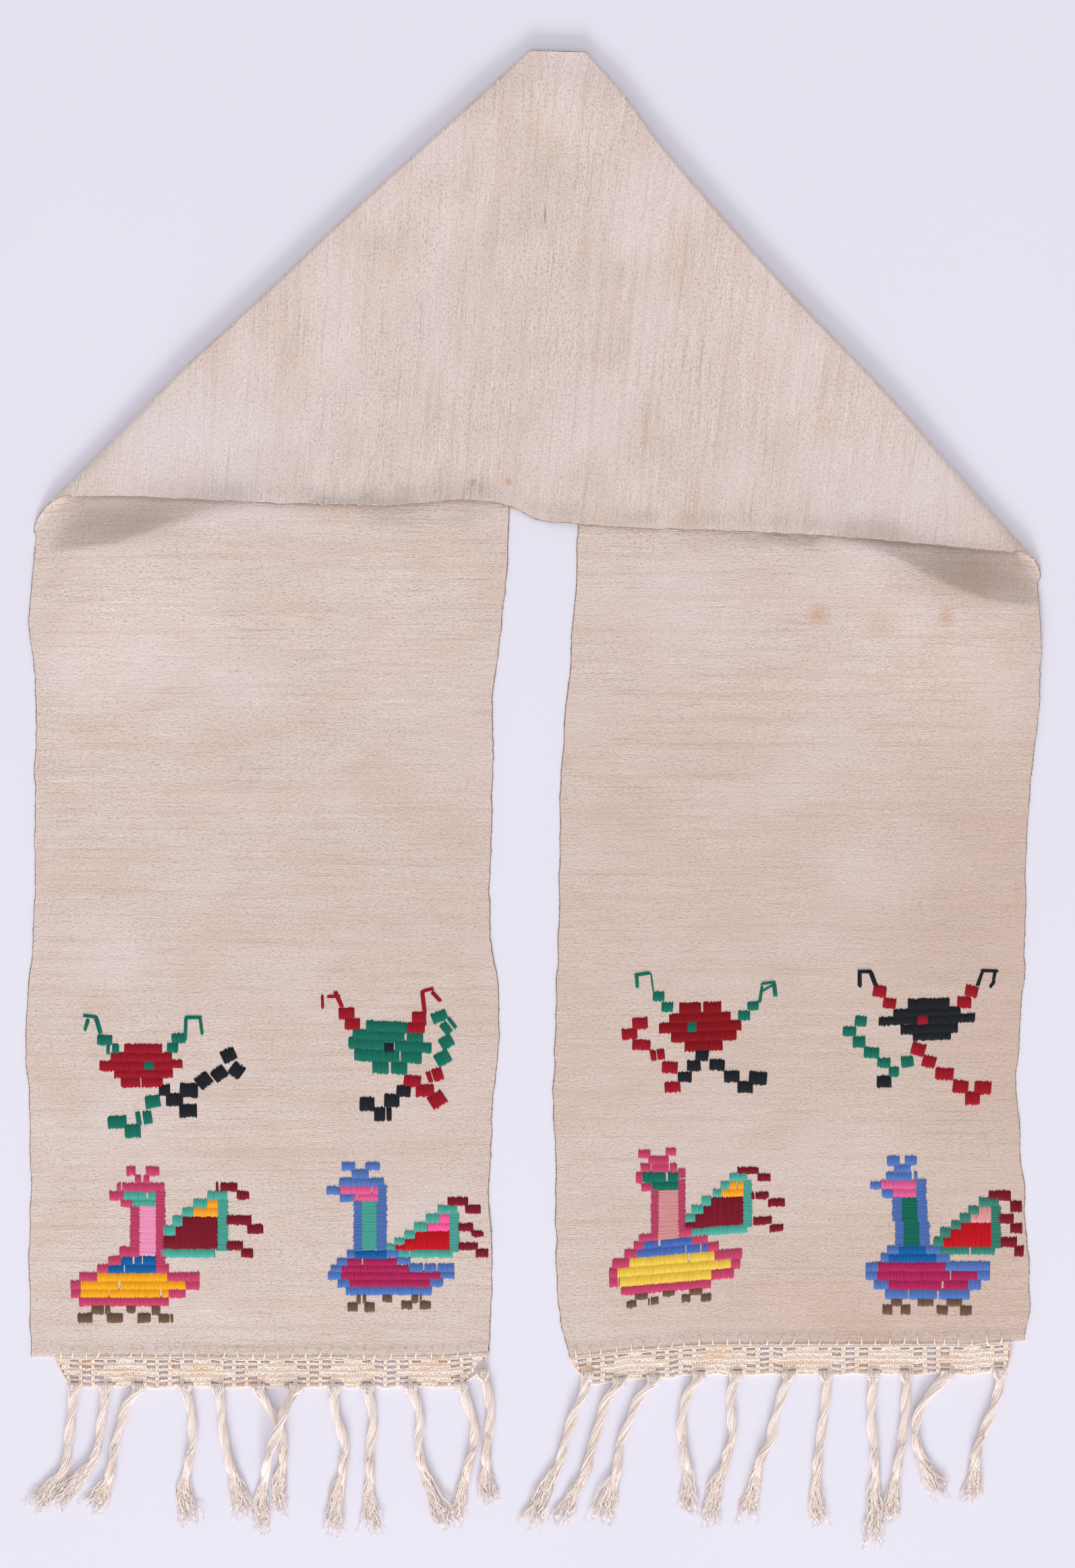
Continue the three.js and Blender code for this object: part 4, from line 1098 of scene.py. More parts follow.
# Embroidery charts. Across is in counts of the linen and down is in rows of stitches, both from
# the chart's corner. Bars of satin stitch are (left, right, top, bottom). Squares that stand apart
# are (x, y, width, height, turn) in counts from the middle of the flower, with the turn in
# degrees. Stems are lines of long stitches, some strands side by side.

Bars = namedtuple("Bars", "thread lay places")
Squares = namedtuple("Squares", "thread places")
Stem = namedtuple("Stem", "thread strands points")
Chart = namedtuple("Chart", "name x y row lean pivot bars squares stems")

BIRD_ONE = [
    Bars("magenta", "up", [
        (20, 23, 0, 1), (27, 31.5, 0, 1), (23, 28, 1, 2), (16.5, 33.5, 2, 3), (14, 19, 3, 4),
        (18, 22, 4, 4.8), (17.5, 24.5, 9.8, 11), (13.5, 18, 11, 12), (9.5, 13.5, 12, 13),
        (30.5, 35, 12, 13), (3, 9.5, 13, 14), (34.5, 46, 13, 14), (41, 46, 14, 15),
        (0, 3.5, 14, 15), (0, 3.5, 15, 16), (35, 41, 15, 16), (3, 35, 16, 17)]),
    Bars("magenta", "across", [(21.5, 24.5, 4.7, 9.8), (30.5, 33.5, 3, 12)]),
    Bars("teal", "up", [(19, 30.5, 3, 4), (22, 30.5, 4, 4.8)]),
    Bars("pink", "across", [(24.5, 30.5, 4.8, 11)]),
    Bars("deep_blue", "up", [(18, 30.5, 11, 12), (13.5, 30.5, 12, 13)]),
    Bars("gold", "up", [(9.5, 34.5, 13, 14), (3.5, 41, 14, 15), (3.5, 35, 15, 16)]),
    Bars("brown", "up", [
        (7.5, 14, 17, 18), (20, 23, 17, 17.8), (29, 32, 17, 18.1), (2.5, 7.5, 18, 19),
        (13, 18.5, 18, 19), (24, 28.5, 18, 19), (31.5, 36.5, 18.1, 19)]),
    Bars("teal", "up", [
        (49, 55.8, 3, 4), (44, 48.8, 4, 5), (40, 44, 5, 6), (36.5, 40, 6, 7.2), (33, 37.5, 7.2, 8.3),
        (32, 51.5, 10.1, 11)]),
    Bars("teal", "across", [(52.6, 56, 4, 10.3)]),
    Bars("orange", "up", [(48.8, 52.6, 4, 5), (44, 52.6, 5, 6)]),
    Bars("maroon", "up", [(40, 52.6, 6, 10.1), (37.5, 40, 7.2, 10.1), (32.5, 37.5, 8.4, 10.1)]),
    Bars("maroon", "up", [
        (52, 59.5, 2, 2.9), (59.5, 63.7, 3, 3.9), (55.5, 64.5, 6, 7), (63.3, 68.7, 7.1, 8.1),
        (55.5, 61.5, 9.2, 10.1), (61, 65.2, 10.1, 11)]),
]
BIRD_TWO = [
    Bars("blue", "up", [
        (5.5, 10, 0, 0.9), (14, 19, 0, 0.9), (9, 15, 0.9, 2), (4.5, 20.5, 2, 3), (0, 4.5, 3.1, 4),
        (4.8, 9.8, 4, 4.9), (7.4, 10, 11.2, 12.2), (21.4, 25.8, 11.1, 12.1), (3.7, 7.4, 12.3, 13.2),
        (25.2, 30, 12.1, 12.9), (1.5, 5.4, 13.2, 14), (29.5, 45.6, 13, 14), (0.5, 5.2, 14, 14.9),
        (40.8, 45.6, 14, 14.8), (4, 8.1, 15, 15.9), (37, 41.6, 14.8, 15.8), (7, 37.5, 15.9, 16.9)]),
    Bars("blue", "across", [(18.5, 21.2, 2.9, 5), (17.9, 21.2, 5, 11.2), (9.9, 12.5, 4.9, 11.3)]),
    Bars("rose", "up", [(5, 18.5, 3, 4), (9.8, 18.5, 4, 4.9)]),
    Bars("teal", "across", [(12.5, 17.9, 4.9, 11.2)]),
    Bars("deep_blue", "up", [(10, 21.4, 11.3, 12.3)]),
    Bars("crimson", "up", [
        (7.4, 25.2, 12.3, 13.2), (5.4, 29.5, 13.2, 14), (5.2, 40.8, 14, 15), (8.1, 37, 15, 15.9)]),
    Bars("brown", "up", [
        (10.8, 14, 16.9, 18), (20, 23.3, 16.9, 17.8), (30.5, 34, 16.9, 17.9), (7.6, 11, 18, 19),
        (13.6, 17.1, 18, 19), (26.8, 30.6, 17.8, 18.7), (33.5, 37.5, 17.8, 18.7)]),
    Bars("teal", "up", [
        (39.5, 46.6, 5.5, 6.5), (35.6, 40.3, 6.6, 7.7), (31.3, 35.9, 7.7, 8.8), (27.9, 31.6, 8.8, 9.7),
        (24.3, 27.9, 9.7, 10.5), (21.2, 24.5, 10.5, 11.1), (25.8, 45, 11.2, 12.1)]),
    Bars("teal", "across", [(44.1, 47.2, 6.5, 11.4)]),
    Bars("hot_pink", "up", [(40.4, 44, 6.6, 7.7), (36.2, 44, 7.7, 8.7)]),
    Bars("scarlet", "up", [(31.8, 44.1, 8.7, 11.2), (28.1, 31.8, 9.7, 11.2), (24.8, 28.1, 10.5, 11.2)]),
    Bars("maroon", "up", [
        (43.4, 50.6, 4.5, 5.4), (49.7, 55.1, 5.5, 6.4), (47, 52.4, 7.8, 8.7), (52, 56, 8.8, 9.4),
        (47, 54.1, 10.3, 11.1), (53.4, 57.8, 11.1, 12)]),
]
BIRD_THREE = [
    Bars("magenta", "up", [
        (10.4, 14.4, 0.3, 1.1), (20.2, 23.7, 0, 0.8), (14, 21, 1, 2), (11.2, 24, 1.9, 2.9),
        (9.5, 11.8, 3, 4.2), (11.6, 15.2, 4.3, 5.1), (10.6, 17.2, 10.3, 11.1), (25, 29.5, 9.8, 10.9),
        (8.8, 12.3, 11.1, 12), (29.3, 35, 10.9, 12), (5.4, 9.7, 12, 13), (35, 39, 12, 13),
        (1, 7.2, 13, 14.1), (37.5, 47.3, 13, 14.2), (0, 2.8, 14.1, 15.2), (43.4, 47.3, 14.2, 15.3),
        (0, 3.6, 15.2, 16.3), (36.4, 44.4, 15.3, 16.4), (4.2, 36.2, 16.4, 17.4)]),
    Bars("magenta", "across", [(24.7, 26.8, 2.5, 9.9), (15.1, 17.4, 4.9, 10.4)]),
    Bars("green", "up", [(11.8, 24.7, 2.9, 4.1), (15.2, 24.7, 4.1, 5.1)]),
    Bars("salmon", "across", [(17.4, 24.8, 5.1, 11.1)]),
    Bars("cornflower", "up", [(12.3, 29.3, 11.1, 12), (9.7, 35, 12, 13)]),
    Bars("yellow", "up", [(7.2, 37.5, 13, 14.1), (2.8, 43.4, 14.1, 15.2), (3.6, 36.4, 15.2, 16.4)]),
    Bars("brown", "up", [
        (9.2, 13.5, 17.4, 18.1), (19.1, 23.1, 17.4, 18), (28.6, 33.2, 17.4, 18.1),
        (6.2, 9.5, 18.3, 19), (13.9, 17.4, 18.1, 18.8), (25.9, 28.8, 18.1, 18.9),
        (32.9, 36.4, 18.2, 19)]),
    Bars("teal", "up", [
        (43, 49.2, 3.1, 4.1), (39.8, 42.9, 4.2, 5.1), (37, 40.1, 5.2, 6.1), (33, 36.3, 6.1, 7.2),
        (29.5, 33.5, 7.2, 8.2), (27, 30.7, 8.3, 9.2), (29.4, 49.2, 10.1, 11)]),
    Bars("teal", "across", [(48, 50.7, 4.1, 10.5)]),
    Bars("orange", "up", [(42.9, 47.9, 4.2, 5.2), (40.1, 47.9, 5.2, 6.1)]),
    Bars("maroon", "up", [
        (36.3, 47.9, 6.2, 10.1), (33.5, 36.3, 7.3, 10.1), (30.7, 33.5, 8.3, 10.1),
        (27, 30.7, 9.2, 10.1)]),
    Bars("maroon", "up", [
        (45.8, 53.2, 2.4, 3.1), (53.1, 57.5, 3.2, 4.1), (50.7, 57, 5.8, 6.6), (56.9, 62.7, 6.8, 7.8),
        (51.5, 57.9, 9.3, 10.2), (57.4, 62.1, 10.5, 11.2)]),
]
BIRD_FOUR = [
    Bars("blue", "up", [
        (7.7, 12, 0, 1.1), (14.1, 18.1, 0, 1), (10.3, 15.9, 1, 1.9), (7.3, 18.3, 1.9, 2.9),
        (1.7, 5.5, 3.1, 3.9), (5.8, 9.6, 4, 4.9), (7.7, 11.6, 10.8, 11.7), (21.5, 26.5, 10.8, 11.7),
        (4.4, 8, 11.7, 12.7), (25.2, 29.9, 11.7, 12.7), (0, 4.4, 12.8, 13.8), (28.4, 44.3, 12.7, 13.7),
        (0, 4, 13.8, 14.8), (40, 44.3, 13.7, 14.8), (2.9, 8, 14.9, 15.9), (36.6, 41, 14.8, 16),
        (7, 37, 16, 17.1)]),
    Bars("blue", "across", [
        (18.1, 21.3, 2.8, 5.2), (18.5, 21.7, 5.2, 7.8), (19.2, 22.5, 7.8, 10.8),
        (9.8, 12.7, 4.9, 7.8), (10.8, 13.4, 7.8, 10.8)]),
    Bars("rose", "up", [(5.5, 18.1, 2.9, 3.9), (9.6, 18.1, 3.9, 4.9)]),
    Bars("green", "across", [(12.7, 18.5, 4.9, 7.8), (13.4, 19.2, 7.8, 10.8)]),
    Bars("deep_blue", "up", [(11.6, 21.5, 10.7, 11.7), (8, 25.2, 11.7, 12.7)]),
    Bars("crimson", "up", [(4.4, 28.4, 12.7, 13.8), (4, 40, 13.8, 14.9), (8, 36.6, 14.9, 16)]),
    Bars("brown", "up", [
        (9.1, 12.9, 17.1, 17.9), (18.6, 24.1, 17.1, 17.9), (29, 34.4, 17.1, 17.9), (6.1, 9.3, 17.9, 18.9),
        (12.6, 15.9, 17.9, 18.9), (25.4, 29.3, 18, 18.9), (33.9, 37.7, 18, 19)]),
    Bars("sea_green", "up", [
        (40.6, 47.5, 5, 6), (36.8, 40.6, 6, 6.9), (33.7, 37.6, 6.9, 7.9), (30.6, 34, 7.8, 8.7),
        (26.7, 30.3, 8.6, 9.8), (24.3, 27.9, 9.7, 10.8), (26.5, 46.1, 10.9, 11.7)]),
    Bars("sea_green", "across", [(44.9, 48.1, 6, 11)]),
    Bars("salmon", "up", [(40.5, 44.8, 6.1, 7.9), (37.5, 40.5, 7, 7.9)]),
    Bars("scarlet", "up", [(34, 45, 7.9, 10.9), (30.3, 34, 8.7, 10.9), (27.8, 30.3, 9.8, 10.9)]),
    Bars("maroon", "up", [
        (44.1, 51.9, 4.2, 5.2), (51.8, 55.8, 5.4, 6.6), (47.5, 52.8, 7, 8), (52, 55.9, 8.1, 9.1),
        (48.3, 54, 9.8, 10.8), (53.3, 56.5, 10.8, 11.9)]),
]

FLOWER_ONE = Chart(
    "flower_one", -336.6, -210.3, 7.25, 0.0, 0.0,
    [Bars("red", "up", [
        (-6.5, 6.9, 0, 1), (-11.2, 10.4, 1, 2), (-15.3, 0.6, 2, 3.1), (4, 10.6, 2, 3),
        (10.6, 14.2, 1.9, 2.7), (-10.1, 10.8, 3, 3.9), (-7.6, 7.1, 3.9, 5)]),
     Bars("green", "up", [(0.6, 4, 2, 3)])],
    [Squares("green", [
        (-13.6, 9.2, 5.3, 3.2, 0), (-10.7, 6.0, 4.3, 3.2, 0), (12.7, 9.8, 4.6, 3, 5),
        (10.8, 6.4, 3.7, 3, 0), (3.6, -12.9, 5.2, 4.2, 8), (0.5, -18.7, 5.6, 4.3, 8),
        (-9.1, -20.2, 6.6, 4, 3), (-3.5, -23.4, 5.5, 4.4, 2)]),
     Squares("black", [
        (7.9, -8.8, 3.9, 3.6, 0), (11.4, -12.1, 6, 4.2, 0), (16.3, -16.1, 6.2, 4.2, 2),
        (16.6, -8.8, 6.3, 4.6, -4), (21.9, -5.3, 5, 4.6, 38), (27.5, -2.9, 5, 4.2, 38),
        (33.7, -1.7, 4.5, 4.5, -35), (30.8, 3.8, 5, 4.2, 25)])],
    [Stem("green", 3, [(-15.0, 11.7), (-16.6, 17.1)]), Stem("green", 2, [(-16.4, 17.3), (-21.1, 18.0)]),
     Stem("green", 2, [(-19.4, 16.6), (-20.7, 12.6)]), Stem("green", 2, [(15.2, 9.0), (15.5, 17.1)]),
     Stem("green", 2, [(15.5, 17.3), (20.9, 17.3)]), Stem("green", 2, [(20.6, 17.0), (21.4, 11.3)])])
FLOWER_TWO = Chart(
    "flower_two", -124.6, -190.9, 8.8, -0.05, 0.0,
    [Bars("green", "up", [
        (-8.1, 6.4, 0, 1), (-12.9, 12, 0.9, 1.8), (-15.2, -1.8, 1.7, 2.7), (2.1, 11.7, 1.8, 2.8),
        (11.7, 15, 1.9, 2.8), (-1.8, 2.1, 1.7, 2), (-12.4, 11.5, 2.8, 3.9), (-5.9, 6.3, 3.9, 5)]),
     Bars("black", "up", [(-1.8, 2.1, 2, 3)])],
    [Squares("red", [
        (-15.2, 12.3, 5.4, 3.7, 2), (-13.2, 8.4, 5.4, 3.8, 0), (10.7, 10.7, 4.8, 3.6, 0),
        (9.7, 7.1, 6.1, 3.6, 0), (16.4, -9.9, 5.6, 4, 18), (8.3, -12, 5.9, 3.8, -5),
        (12.8, -15.4, 6.4, 3.8, 2), (17.2, -18.7, 5.6, 4.6, 33)]),
     Squares("green", [
        (17.9, 11.1, 5.3, 3.4, 20), (21.1, 7.6, 4.8, 4, 38), (20.5, 2, 4.6, 4, 30),
        (19.2, -3.8, 5.3, 4.4, 28)]),
     Squares("black", [
        (5.1, -15.6, 4.9, 3.7, -2), (0.9, -18.9, 5.2, 4.4, 0), (-2.3, -23.8, 6, 4.5, 0),
        (-8, -20.2, 5.2, 4.5, 0)])],
    [Stem("red", 3, [(-17.0, 14.6), (-19.4, 20.0)]), Stem("red", 2, [(-18.0, 18.4), (-22.0, 18.2)]),
     Stem("red", 2, [(-24, 18.5), (-23.8, 14.2)]), Stem("red", 3, [(12.7, 12.4), (11.8, 20.2)]),
     Stem("red", 1, [(12.7, 12.4), (13.0, 8.2)]), Stem("red", 2, [(12.4, 20.2), (15.7, 21.1)]),
     Stem("red", 2, [(15.3, 19.9), (18.4, 16.6)])])
FLOWER_THREE = Chart(
    "flower_three", 143.1, -174.4, 8.2, 0.04, 0.0,
    [Bars("dark_red", "up", [
        (-7.6, 7.3, 0, 1.1), (-11.1, 10.7, 1.1, 2), (-14.8, -4.7, 2, 3), (-1.5, 14.5, 2, 3),
        (-10.4, 12.8, 3, 4), (-5.6, 7.7, 4, 5)]),
     Bars("green", "up", [(-4.7, -1.5, 2, 3)])],
    [Squares("green", [
        (-15.1, 10.8, 3.9, 2.9, -3), (-11.9, 7, 3.9, 3, -3), (18.8, 7.5, 3.7, 2.7, 0),
        (15.6, 4, 4, 3, 0)]),
     Squares("red", [
        (-21.7, 1.2, 5.4, 3.7, 4), (-25.5, -2.7, 5.4, 3.4, 3), (-21.2, -6.5, 6.2, 3.2, -2),
        (-15.9, -10.1, 5.8, 3.3, 8), (-11, -14.6, 5.4, 3.8, -4), (-10.1, -21.6, 5.5, 3.3, 2)]),
     Squares("black", [
        (0.5, -10.1, 4.4, 3.7, -5), (-2.4, -14, 4.7, 3.4, 2), (-5.7, -18, 4.7, 3.2, 0),
        (5.9, -13.6, 5.2, 3.5, -3), (11.1, -17.8, 5.2, 3.6, 0), (15.9, -21.6, 5.2, 3.7, 0),
        (20.5, -18.4, 6.2, 4.2, -3)])],
    [Stem("green", 2, [(-17.3, 12.4), (-18.1, 19.0)]), Stem("green", 2, [(-18.1, 19.2), (-23.3, 18.4)]),
     Stem("green", 2, [(-22.9, 18.2), (-22.6, 14.2)]), Stem("green", 2, [(21.1, 8.7), (22, 14.5)]),
     Stem("green", 2, [(21.8, 15.3), (26.4, 15.9)]), Stem("green", 3, [(26.2, 15.6), (26.8, 11.1)]),
     Stem("green", 1, [(22, 12.6), (26.0, 15.0)])])
FLOWER_FOUR = Chart(
    "flower_four", 339.0, -170.9, 7.0, 0.04, 0.0,
    [Bars("black", "up", [
        (-7.3, 7.5, 0, 1.3), (-12.5, 11.4, 1.2, 2.1), (-17.7, -4, 2.1, 3), (-0.2, 10.4, 2.1, 3.1),
        (10.4, 16.6, 2.1, 3), (-9.9, 10.4, 3.1, 4.2), (-5.6, 7.9, 4.2, 5)]),
     Bars("red", "up", [(-4, -0.2, 2.1, 3.1)])],
    [Squares("red", [
        (-17.5, 9.9, 4.5, 3.6, -8), (-14, 5.7, 4.4, 3.2, -5), (15.4, 10, 4.3, 3.6, -12),
        (12.8, 6, 4.6, 3.7, 0), (-3.7, -10.8, 4.9, 4, -15), (0.2, -15.2, 4.6, 3.7, -15),
        (5.7, -19.6, 6.4, 3.9, -3), (11.5, -24.2, 5.4, 4.2, -5), (15.8, -28.3, 5.2, 4.1, 0),
        (19.5, -24.6, 5.9, 4.2, -3)]),
     Squares("green", [
        (-24.2, -0.7, 4, 3.3, -8), (-28.3, -4.4, 4.5, 3, -3), (-24.9, -8.2, 4.2, 3.6, 0),
        (-20.5, -12.1, 5.2, 3.3, -3), (-15.9, -15.6, 4.4, 3, 0), (-12.4, -18.9, 3.4, 3, 0),
        (-7.6, -15.2, 4.2, 3.5, 5)]),
     Squares("black", [(-15.9, -22.3, 5, 3.8, 0)])],
    [Stem("black", 3, [(-18.9, 11.9), (-20.8, 16.9)]), Stem("black", 2, [(-20.8, 17.1), (-25.2, 17.1)]),
     Stem("black", 3, [(-24.7, 17.0), (-24.6, 11.7)]), Stem("black", 2, [(17.5, 11.9), (19.3, 17.1)]),
     Stem("black", 2, [(19.0, 17.4), (24.6, 17.2)]), Stem("black", 2, [(23.9, 17.0), (23.3, 13.5)]),
     Stem("black", 2, [(23.5, 13.5), (22.1, 11.7)])])
CHARTS = [
    FLOWER_ONE, FLOWER_TWO, FLOWER_THREE, FLOWER_FOUR,
    Chart("bird_one", -398.2, -315.6, 7.0, 0.0, 0.0, BIRD_ONE, [], []),
    Chart("bird_two", -178.3, -311.9, 6.7, 0.0, 0.0, BIRD_TWO, [], []),
    Chart("bird_three", 64.9, -299.3, 7.05, 0.085, 21.2, BIRD_THREE, [], []),
    Chart("bird_four", 285.2, -306.3, 7.16, 0.0, 0.0, BIRD_FOUR, [], []),
]
# The rows of a leaning bird are level down to the first of these, and slope in full from the other
LEAN_FROM, LEAN_TO = 3.0, 10.0
# The row of a flower's middle, which its squares and stems are counted from
MIDDLE_ROW = 2.5
# A satin stitch at shares of its length: its height in stitch heights and its share of the width
Along = namedtuple("Along", "share rise width")
STITCH = [
    Along(-0.02, -0.45, 0.7), Along(0.1, 0.5, 1.0), Along(0.5, 0.65, 1.0), Along(0.9, 0.5, 1.0),
    Along(1.02, -0.45, 0.7),
]
STITCH_FLAT = 0.45
# The share of worn pairs of stitches where a third has gone as well
THIRD_WORN = 0.4
STITCH_SEED = 200

# Stranded cotton, by the names that the charts use
THREADS = {
    "magenta": 0xCC4670, "pink": 0xFFA5CD, "teal": 0x52B0A1, "green": 0x0E7361, "sea_green": 0x3C8878,
    "blue": 0x577BC0, "cornflower": 0x4C70BE, "deep_blue": 0x0963A9, "gold": 0xFBB11B,
    "yellow": 0xF2CE50, "brown": 0x755746, "orange": 0xFFAA2D, "maroon": 0x820E27, "red": 0xA10C22,
    "dark_red": 0x900113, "scarlet": 0xC9021B, "crimson": 0xB6225D, "rose": 0xE5649B,
    "hot_pink": 0xFE62A2, "salmon": 0xE6A0A2, "black": 0x191D26,
}


class Stitches:
    """Satin stitches of one motif, each a thread from one hole of the linen to another."""

    def __init__(self, chart, settings, seed):
        self.chart, self.settings = chart, settings
        self.rng = np.random.default_rng(seed)
        self.threads, self.starts, self.ends, self.slots = [], [], [], []

    def place(self, across, down):
        """Plan of a chart's point, in counts and rows."""
        chart, count = self.chart, self.settings.count
        x = across * count
        slope = chart.lean
        if chart.pivot:
            slope = slope * np.clip((down - LEAN_FROM) / (LEAN_TO - LEAN_FROM), 0, 1)
        y = -down * chart.row * MM + slope * (across - chart.pivot) * count
        return np.stack([chart.x * MM + x, chart.y * MM + y], -1)

    def lay(self, starts, ends, thread):
        """Stitches between two rows of holes, uneven as a hand leaves them."""
        rng, settings = self.rng, self.settings
        if thread not in self.threads:
            self.threads.append(thread)
        run = ends - starts
        run /= np.linalg.norm(run, axis=1, keepdims=True)
        for holes, way, found in ((starts, -1, self.starts), (ends, 1, self.ends)):
            reach = settings.overlap * rng.uniform(0.0, 2.0, (len(holes), 1))
            found.append(holes + way * run * reach + rng.normal(0, 0.2, holes.shape) * settings.pitch)
        self.slots.append(np.full(len(starts), self.threads.index(thread)))

    def bars(self, bars):
        """Blocks of stitches that run up or across between two edges."""
        pitch, count = self.settings.pitch, self.settings.count
        for left, right, top, bottom in bars.places:
            if bars.lay == "up":
                steps = max(2, round((right - left) * count / pitch))
                run = left + (right - left) * (np.arange(steps) + 0.5) / steps
                self.lay(self.place(run, bottom + 0 * run), self.place(run, top + 0 * run), bars.thread)
            else:
                steps = max(2, round((bottom - top) * self.chart.row * MM / pitch))
                run = top + (bottom - top) * (np.arange(steps) + 0.5) / steps
                self.lay(self.place(left + 0 * run, run), self.place(right + 0 * run, run), bars.thread)

    def middle(self):
        """Plan of a flower's middle."""
        return self.place(np.array(0.0), np.array(MIDDLE_ROW))

    def squares(self, squares):
        """Blocks that stand apart, each turned by its own angle."""
        pitch, count = self.settings.pitch, self.settings.count
        for x, y, wide, high, turn in squares.places:
            angle = math.radians(turn)
            right = np.array([math.cos(angle), math.sin(angle)])
            up = np.array([-right[1], right[0]])
            middle = self.middle() + np.array([x, y]) * count
            steps = max(2, round(wide * count / pitch))
            run = ((np.arange(steps) + 0.5) / steps - 0.5)[:, None] * wide * count * right
            half = up * high * count / 2
            self.lay(middle + run - half, middle + run + half, squares.thread)

    def stem(self, stem):
        """Long stitches side by side, from each point to the next."""
        count = self.settings.count
        for start, end in zip(stem.points, stem.points[1:]):
            start, end = (self.middle() + np.array(p) * count for p in (start, end))
            run = end - start
            side = np.array([-run[1], run[0]]) / np.hypot(*run) * self.settings.pitch
            order = (np.arange(stem.strands + 1) - stem.strands / 2)[:, None]
            self.lay(start + order * side, end + order * side, stem.thread)

    def parts(self, linen_half):
        """Every stitch rises out of the linen, runs flat and goes in again. Here and there two or
        three stitches side by side have worn away, and the linen shows between their neighbours."""
        settings, rng = self.settings, self.rng
        start, end, slot = (np.concatenate(c) for c in (self.starts, self.ends, self.slots))
        worn = rng.random(len(start)) < settings.worn
        worn |= np.roll(worn, 1) | (np.roll(worn, 2) & (rng.random(len(start)) < THIRD_WORN))
        start, end, slot = start[~worn], end[~worn], slot[~worn]
        count = len(start)
        share, rise, width = np.array(STITCH).T
        plan = start[:, None] + (end - start)[:, None] * share[None, :, None]
        rise = rise * rng.uniform(0.8, 1.2, (count, 1))
        height = leg_height(plan[..., 0], plan[..., 1]) + linen_half + rise * settings.height
        paths = np.concatenate([plan, height[..., None]], -1)
        radii = width * rng.uniform(0.88, 1.1, (count, 1)) * settings.width / 2
        made = Parts()
        made.tubes(paths, radii, sides=3, flat=STITCH_FLAT, tone=rng.uniform(0, 1, count), slot=slot)
        return made


# Materials. A Mix node for colours has its share in socket 0, its colours in 6 and 7 and its result
# in output 2, and a Math node has its values in 0, 1 and 2.

# A wave texture at this scale repeats once in each unit of its vector
WAVE_UNIT = 0.314


def add(tree, kind, inputs=None, out=0, **settings):
    """Adds a node with its settings and its links or values, and gives one of its outputs."""
    node = tree.nodes.new("ShaderNode" + kind)
    for name, value in settings.items():
        setattr(node, name, value)
    for name, value in (inputs or {}).items():
        if isinstance(value, bpy.types.NodeSocket):
            tree.links.new(value, node.inputs[name])
        else:
            node.inputs[name].default_value = value
    return node.outputs[out] if node.outputs else node


def new_material(name):
    """A material with no nodes yet, and its tree."""
    material = bpy.data.materials.new(name)
    material.use_nodes = True
    material.node_tree.nodes.clear()
    return material, material.node_tree


def per_mm(across, along):
    """A mapping's scale for a pattern of this size, in millimetres."""
    return (1 / (across * MM), 1 / (along * MM), 1.0)


# Stains and tints of the linen at their places, and last painted shade in the two folds' mouths
StainAndShade = namedtuple("StainAndShade", "x y width height strength colour")
STAINS_AND_SHADE = [
    StainAndShade(244.0, 158.6, 22, 20, 0.5, 0xC78C58),
    StainAndShade(352.6, 156.3, 14, 21, 0.42, 0xC08C5E),
    StainAndShade(295.8, 149.9, 34, 26, 0.3, 0xD09C84),
    StainAndShade(313.2, 116.3, 13, 10, 0.25, 0xC99C92),
    StainAndShade(334.7, 116.3, 13, 10, 0.25, 0xC99C92),
    StainAndShade(-22.0, 272.9, 7, 9, 0.5, 0xC0803F),
    StainAndShade(-52.8, 272.3, 8, 8, 0.45, 0xA08070),
    StainAndShade(9.4, 502.0, 1.6, 19, 0.8, 0x7A6050),
    StainAndShade(-20.0, 590.0, 20, 110, 0.2, 0xC7A48E),
    StainAndShade(-235.0, -150.0, 900, 900, 0.18, 0xC3AA9B),
    StainAndShade(225.0, -170.0, 900, 900, 0.36, 0xC3AA9B),
    # Partly the cloth's age and partly painted shade, where the light falls off towards the right
    StainAndShade(410.0, -150.0, 210, 760, 0.34, 0xBF9C8A),
    StainAndShade(300.0, -440.0, 420, 150, 0.3, 0xC0967E),
    StainAndShade(-300.0, 312.0, 300, 130, 0.4, 0xE6DDE2),
    StainAndShade(330.0, 268.0, 240, 120, 0.35, 0xE6DDE2),
    # Painted shade in the two folds' mouths, where each leg falls away behind its hump
    StainAndShade(-352.0, 236.0, 140, 44, 0.22, 0x8F7464),
    StainAndShade(372.0, 196.0, 150, 56, 0.3, 0x8A6A52),
]
# Layers of the linen's grain: size across and along in millimetres, and share in the height
Grain = namedtuple("Grain", "across along share")
GRAIN = [Grain(7.0, 1.0, 0.24), Grain(1.1, 8.0, 0.16), Grain(2.6, 1.7, 0.90), Grain(1.3, 1.2, 0.36)]
# Slubs, streaks and patches of the linen: size across and along in millimetres, where the noise
# starts to show and is strongest, strength and colour
Tint = namedtuple("Tint", "across along start full strength colour")
TINTS = [
    Tint(9.0, 1.0, 0.62, 0.74, 0.50, 0x8E7666),
    Tint(4.0, 1.8, 0.66, 0.78, 0.35, 0xA58A6E),
    Tint(70.0, 1.6, 0.56, 0.71, 0.42, 0xA88F7A),
    Tint(40.0, 1.8, 0.42, 0.28, 0.42, 0xF6ECE8),
    Tint(300.0, 7.0, 0.50, 0.70, 0.30, 0xC8AA92),
    Tint(75.0, 40.0, 0.44, 0.68, 0.26, 0xCFB5A2),
    Tint(120.0, 80.0, 0.52, 0.32, 0.30, 0xEDDCE2),
]
# Distance between the lines of the weft, in millimetres
WEFT = 2.0


